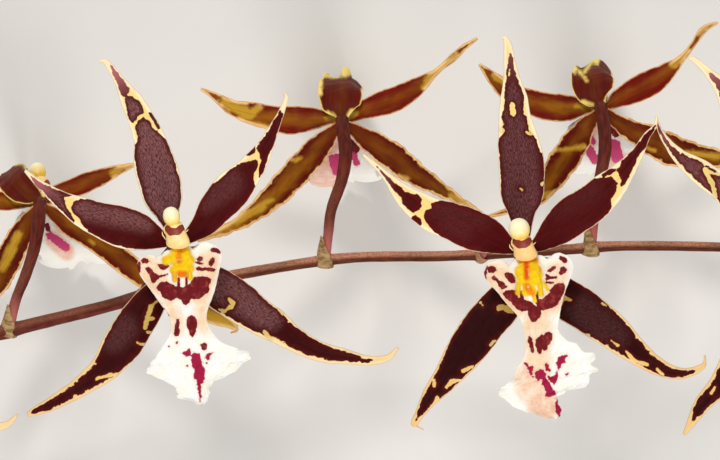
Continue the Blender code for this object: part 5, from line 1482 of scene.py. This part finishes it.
def front_lip(number, centre, material):
    """A lip seen from its face: side lobes, waist and frilled middle lobe, with the callus at its foot."""
    outline, spots, magentas, dots, peaches, callus, cores = FRONT_LIPS[number]
    stations, cells = LIP_DETAIL[number]
    t = steps(stations)
    v = steps(cells + 1).T
    x, y = front_lip_plan(number, outline, t, v)
    height, yellow = ridge_height(x, y, callus)
    knobs = 0.5 * waves(x * 0.45 + y * 0.21, number + 70) + 0.5 * waves(y * 0.42 - x * 0.17, number + 71)
    z = front_lip_height(number, t, v, y) + height + 0.45 * yellow * knobs

    core = 0 * yellow
    for capsule, strength in cores:
        core = np.maximum(core, strength * yellow * soft(capsule_distance(x, y, capsule), 0.9))
    spot = np.maximum(inside_outlines(x, y, spots), -nearest(x, y, dots))
    magenta_spot = inside_outlines(x, y, magentas)
    numbers = {
        "spot": np.maximum(spot, magenta_spot),
        "magenta": magenta_spot > spot - 0.2,
        "peach": soft(nearest(x, y, peaches), PEACH_FADE),
        "rosy": soft(nearest(x, y, peaches[3:]), PEACH_FADE) * (y < ROSY_TOP),
        "callus": yellow,
        "core": core,
    }
    middle = np.stack((x, y, z), axis=-1) + centre
    lip_sheet(number, middle, np.array((0.0, 0.0, 1.0)), 2 * v - 1, numbers, material)


def back_lip(number, centre, material):
    """A lip that hangs face down below its flower, seen from behind."""
    rows, marks, pinks = BACK_LIPS[number]
    stations, cells = BACK_LIP_DETAIL
    rows = smooth_rows([(0.0, *row) for row in rows], stations)
    path, left, right = rows[:, :3], rows[:, 3:4], rows[:, 4:5]
    normals = np.cross((1.0, 0.0, 0.0), tangents(path))
    normals = (normals * np.where(normals[:, 2:] > 0, -1.0, 1.0))[:, None]
    t = steps(stations)
    v = steps(cells + 1).T
    u = 2 * v - 1
    jag = edge_waves(u, (t * 12.0, number), (t * 11.0, number + 40))
    x = left * (1 - v) + right * v + u * np.abs(u) ** 5 * 0.3 * jag * clamp(t * 10)
    ruffle = edge_waves(u, (t * 5.0, number + 9), (t * 4.6, number + 8))
    lift = 0.9 * u**2 + 0.4 * np.abs(u) ** 3 * ruffle
    middle = path[:, None] + np.stack((x, 0 * x, 0 * x), axis=-1) + normals * lift[..., None] + centre
    middle[..., 2] = np.maximum(middle[..., 2], FLOOR_CLEARANCE)

    low = clamp((t - 0.3) / 0.25)
    aside = x - (left + right) / 2 + 0.5
    shift = np.where(aside < 1.0, (aside + 5.5) / 3.6, (aside - 7.5) / 3.8)
    lobes = 0.9 * np.minimum(shift**2, 2.8) + 1.0 * clamp((aside - 0.5) / 2)
    middle[..., 1] = middle[..., 1] + low * lobes
    plan = in_plan(middle, centre)
    numbers = {
        "spot": -nearest(*plan, marks),
        "magenta": nearest(*plan, marks[1:]) < nearest(*plan, marks[:1]),
        "peach": soft(nearest(*plan, pinks), 1.6),
        "rosy": 0.0,
        "callus": 0.0,
        "core": 0.0,
    }
    lip_sheet(number, middle, normals, u, numbers, material)


def tip_shift(number, height, facing):
    """How far a column is bent aside at a height over its flower: not at its foot, wholly at its tip."""
    x, y = TIP_SHIFT.get(number, (0.0, 0.0))
    share = clamp((np.asarray(height) * facing - 1.5) / 4.5)
    return np.stack((x * share, y * share, 0 * share), axis=-1)


def tube(rows, sides, first_side, swelling=lambda length, angle: 1.0):
    """Rings of points along rows of x, y, z, radius; swelling gives each point's share of its radius."""
    line, radius = rows[:, :3], rows[:, 3:4]
    ways = tangents(line)
    side = carried_sides(ways, first_side)
    other = np.cross(side, ways)
    angles = (np.arange(sides) * math.tau / sides)[None, :]
    lengths = lengths_along(line)[:, None]
    out = side[:, None] * np.cos(angles)[..., None] + other[:, None] * np.sin(angles)[..., None]
    points = line[:, None] + out * (radius * swelling(lengths, angles))[..., None]
    points[..., 2] = np.maximum(points[..., 2], 0.0)
    grain = np.stack(np.broadcast_arrays(lengths, np.cos(angles) * radius, np.sin(angles) * radius), axis=-1)
    return points, grain, out, lengths / lengths[-1]


def column(number, centre, facing, material):
    """The column with its hub, its neck and its band. On a flower that faces up it has thin rims too."""
    node = f"flower_{number}_column"
    rows = smooth_rows(COLUMN, COLUMN_RINGS)
    line = rows[:, :3] * (1, 1, facing) + centre
    ways = tangents(line)
    across = carried_sides(ways, (1.0, 0.0, 0.0))
    other = np.cross(across, ways)
    angles = np.arange(COLUMN_SIDES) * math.tau / COLUMN_SIDES
    wide = (np.cos(angles) * rows[:, 3:4])[..., None] * across[:, None]
    deep = (np.sin(angles) * rows[:, 4:5])[..., None] * other[:, None]
    points = line[:, None] + (wide + deep)
    height = points[..., 2] - centre[2]
    spot = np.where(height * facing > BAND_FOOT, -nearest(*in_plan(points, centre), COLUMN_BAND), -2.0)
    hub = clamp((1.2 - height * facing) / 1.5)
    grain = points - centre + number * 7.0
    if facing > 0:
        for i, rim_rows in enumerate(RIMS):
            rim = smooth_rows(rim_rows, RIM_RINGS)
            rim[:, :3] = rim[:, :3] + tip_shift(number, rim[:, 2], facing) + centre
            rim_points, rim_grain, _, _ = tube(rim, RIM_SIDES, (0.0, 0.0, 1.0))
            cream = {"spot": -1.0, "hub": 0.0, "orange": 0.0}
            piece(f"{node}_rim_{i}", rim_points, [material], cream, rim_grain, node)
    points = points + tip_shift(number, height, facing)
    numbers = {"spot": spot, "hub": hub, "orange": NECK_ORANGE.get(number, PALE_NECK)}
    piece(node + "_skin", points, [material], numbers, grain, node)


def anther_cap(number, centre, facing, material):
    """The cap at the column's end: a rounded body with a shallow groove between its two lobes."""
    middle = np.array(CAP_PLACE) + tip_shift(number, CAP_PLACE[2], 1.0)
    size = CAP_SIZE.get(number, 1.0)
    way = unit(np.array(CAP_WAY))
    across = unit(np.cross(way, (0.0, 0.0, 1.0)))
    up = np.cross(across, way)
    angles = np.arange(CAP_SIDES) * math.tau / CAP_SIDES
    points, core = [], []
    for p in (np.arange(CAP_RINGS) + 0.5) / CAP_RINGS * math.pi:
        along = -math.cos(p)
        radius = math.sin(p) ** 0.85
        a = np.cos(angles) * radius
        b = np.sin(angles) * radius
        groove = 0.16 * bell(a, 0.22) * (b > 0) * (0.6 - 0.4 * along)
        ring = np.outer(a * CAP_HALF_WIDTH, across) + np.outer((b - groove) * CAP_HALF_HEIGHT, up)
        points.append(middle + (ring + way * along * CAP_HALF_LENGTH / size**0.5) * size)
        core.append(np.full(CAP_SIDES, 0.55 - 0.75 * along))
    points = np.array(points) * (1, 1, facing) + centre
    node = f"flower_{number}_anther_cap"
    grain = points - centre + number * 5.0
    piece(node + "_skin", points, [material], {"core": clamp(core)}, grain, node)


def rachis(material):
    """The main stem, swollen where each flower stalk leaves it."""
    rows = smooth_rows(RACHIS, RACHIS_RINGS)

    def swelling(length, angle):
        nodes = 0
        for stalk in STALKS.values():
            place = np.linalg.norm(rows[:, :3] - np.array(stalk[0][:3]), axis=1)[:, None]
            nodes = nodes + 0.16 * bell(place, 3.0)
        ribs = 0.02 * np.sin(angle * 5 + length * 0.03)
        return 1 + 0.03 * waves(length / 11.0 + angle * 0.3, 5) + ribs + nodes

    points, grain, out, _ = tube(rows, RACHIS_SIDES, (0.0, 0.0, 1.0), swelling)
    # Painted shade: the rachis's left part, under the flowers, is painted darker maroon.
    shade = 0.75 * soft(points[..., 0] + 62.0, 40.0)
    # The side facing +y, towards the key light, is painted mauve: partly its own flush, partly painted light.
    numbers = {"flush_and_lit_side": out[..., 1] * 0.5 + 0.5, "maroon": shade, "rosy": 0.0, "tan": 0.0}
    piece("rachis", points, [material], numbers, grain, "stem")


def flower_stalk(number, stalk, material):
    """One flower's stalk, ribbed towards its ovary, from the rachis to the flower's hub."""
    x, y, height, facing = FLOWERS[number][:4]
    rows = smooth_rows(stalk + ((x, y, height - facing * HUB_BACK, HUB_RADIUS),), STALK_RINGS)

    def swelling(length, angle):
        ribs = 0.07 * np.cos(6 * angle) * clamp(length / length.max() * 2 - 0.8)
        return 1 + ribs + 0.03 * waves(length / 7.0, number)

    points, grain, out, t = tube(rows, STALK_SIDES, (1.0, 0.0, 0.0), swelling)
    numbers = {
        # The side facing +y and up, towards the key light, is painted mauve: partly its own flush, partly
        # painted light.
        "flush_and_lit_side": out[..., 1] * 0.3 + out[..., 2] * 0.2 + 0.35,
        "maroon": clamp(0.45 + t * 0.9),
        "rosy": clamp(1.3 - t / 0.2) * 0.85,
        "tan": 0.0,
    }
    piece(f"stalk_{number}", points, [material], numbers, grain + number * 31.0, "stem")


def bract(number, stalk, material):
    """A dry papery sheath round the foot of a flower stalk, open on one side and drawn out on the other."""
    foot = np.array(stalk[0][:3])
    up = unit(np.array(stalk[1][:3]) - foot)
    out = unit(np.array(BRACT_LEAN) - up * np.dot(BRACT_LEAN, up))
    side = np.cross(up, out)
    size, tan = BIG_BRACT if number in BACK_LIPS else SMALL_BRACT
    stations, cells = BRACT_DETAIL
    t = steps(stations)
    angle = np.linspace(-1.0, 1.0, cells + 1)[None, :] * (2.5 - 2.2 * t**1.4)
    radius = (2.35 - 0.45 * t + 0.10 * waves(angle * 0.5 + t, number)) * (0.35 + 0.65 * size)
    rise = (-1.6 + 8.0 * t - 0.9 * (1 - np.cos(angle)) * t) * size
    cosine, sine = np.cos(angle), np.sin(angle)
    face = foot + up * rise[..., None]
    face = face + out * (cosine * radius)[..., None] + side * (sine * radius)[..., None]
    inward = -(out * cosine[..., None] + side * sine[..., None]) * BRACT_THICKNESS
    rings = blade_rings(face, face + inward, np.tile(side, (stations, 1)) * 0.02)
    numbers = {"flush_and_lit_side": 0.6, "maroon": 0.0, "rosy": 0.0, "tan": tan}
    piece(f"bract_{number}", rings, [material], numbers, rings - foot + number * 9.0, "stem")


def flowers():
    skins = [tepal_face(), tepal_back()]
    front_skin = lip_skin("lip_skin", srgb(166, 6, 62), srgb(248, 204, 150))
    back_skin = lip_skin("lip_skin_back", srgb(206, 60, 116), srgb(240, 164, 130))
    column_material = column_skin()
    cap_material = cap_skin()
    for number, (x, y, height, facing, tepals, paints) in FLOWERS.items():
        centre = np.array((x, y, height))
        for i, (part, rows) in enumerate(tepals.items()):
            node = f"flower_{number}_{part}"
            tepal(node, centre, facing, rows, paints[part], number * 10 + i, skins, TEPAL_DETAIL[number])
        if number in FRONT_LIPS:
            front_lip(number, centre, front_skin)
        else:
            back_lip(number, centre, back_skin)
        column(number, centre, facing, column_material)
        anther_cap(number, centre, facing, cap_material)


def stem():
    material = stem_skin()
    rachis(material)
    for number, stalk in STALKS.items():
        flower_stalk(number, stalk, material)
        bract(number, stalk, material)


def camera():
    """Straight down on the spray, as the photograph shows it."""
    data = bpy.data.cameras.new("camera")
    data.sensor_width = SENSOR_WIDTH
    data.lens = SENSOR_WIDTH * CAMERA_DISTANCE / PHOTO_WIDTH
    data.clip_end = 20.0
    obj = bpy.data.objects.new("camera", data)
    obj.location = (TO_WORLD[0] * MM, TO_WORLD[1] * MM, PHOTO_PLANE + CAMERA_DISTANCE)
    bpy.context.scene.collection.objects.link(obj)
    bpy.context.scene.camera = obj


def softbox(name, place, size, colour):
    """A round soft light that looks at the middle of the spray."""
    data = bpy.data.lights.new(name, "AREA")
    data.shape = "DISK"
    data.size = size
    data.energy = LIGHT_POWER
    data.color = colour
    obj = bpy.data.objects.new(name, data)
    obj.location = place
    way = unit(np.array(LIGHT_TARGET) - np.array(place))
    obj.rotation_euler = (math.acos(-way[2]), 0.0, math.atan2(-way[0], way[1]))
    bpy.context.scene.collection.objects.link(obj)


def studio():
    """A pale floor, a soft key light from behind the spray and a weak fill."""
    mesh = bpy.data.meshes.new("floor")
    corners = [(x * FLOOR_REACH, y * FLOOR_REACH, 0) for x, y in ((-1, -1), (1, -1), (1, 1), (-1, 1))]
    mesh.from_pydata(corners, [], [(0, 1, 2, 3)])
    mesh.materials.append(floor_finish())
    floor = bpy.data.objects.new("floor", mesh)
    bpy.context.scene.collection.objects.link(floor)
    softbox("key", (-0.5, 1.5, 2.0), 0.5, (1.0, 0.97, 0.92))
    softbox("fill", (0.5, -1.9, 1.3), 1.2, (1.0, 0.98, 0.96))
    world = bpy.data.worlds.new("studio")
    world.use_nodes = True
    background = world.node_tree.nodes["Background"].inputs
    background["Color"].default_value = (1.0, 1.0, 1.0, 1.0)
    background["Strength"].default_value = 0.58
    bpy.context.scene.world = world


def main():
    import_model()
    camera()
    flowers()
    stem()
    studio()
    bpy.context.scene.view_settings.view_transform = "Standard"


main()
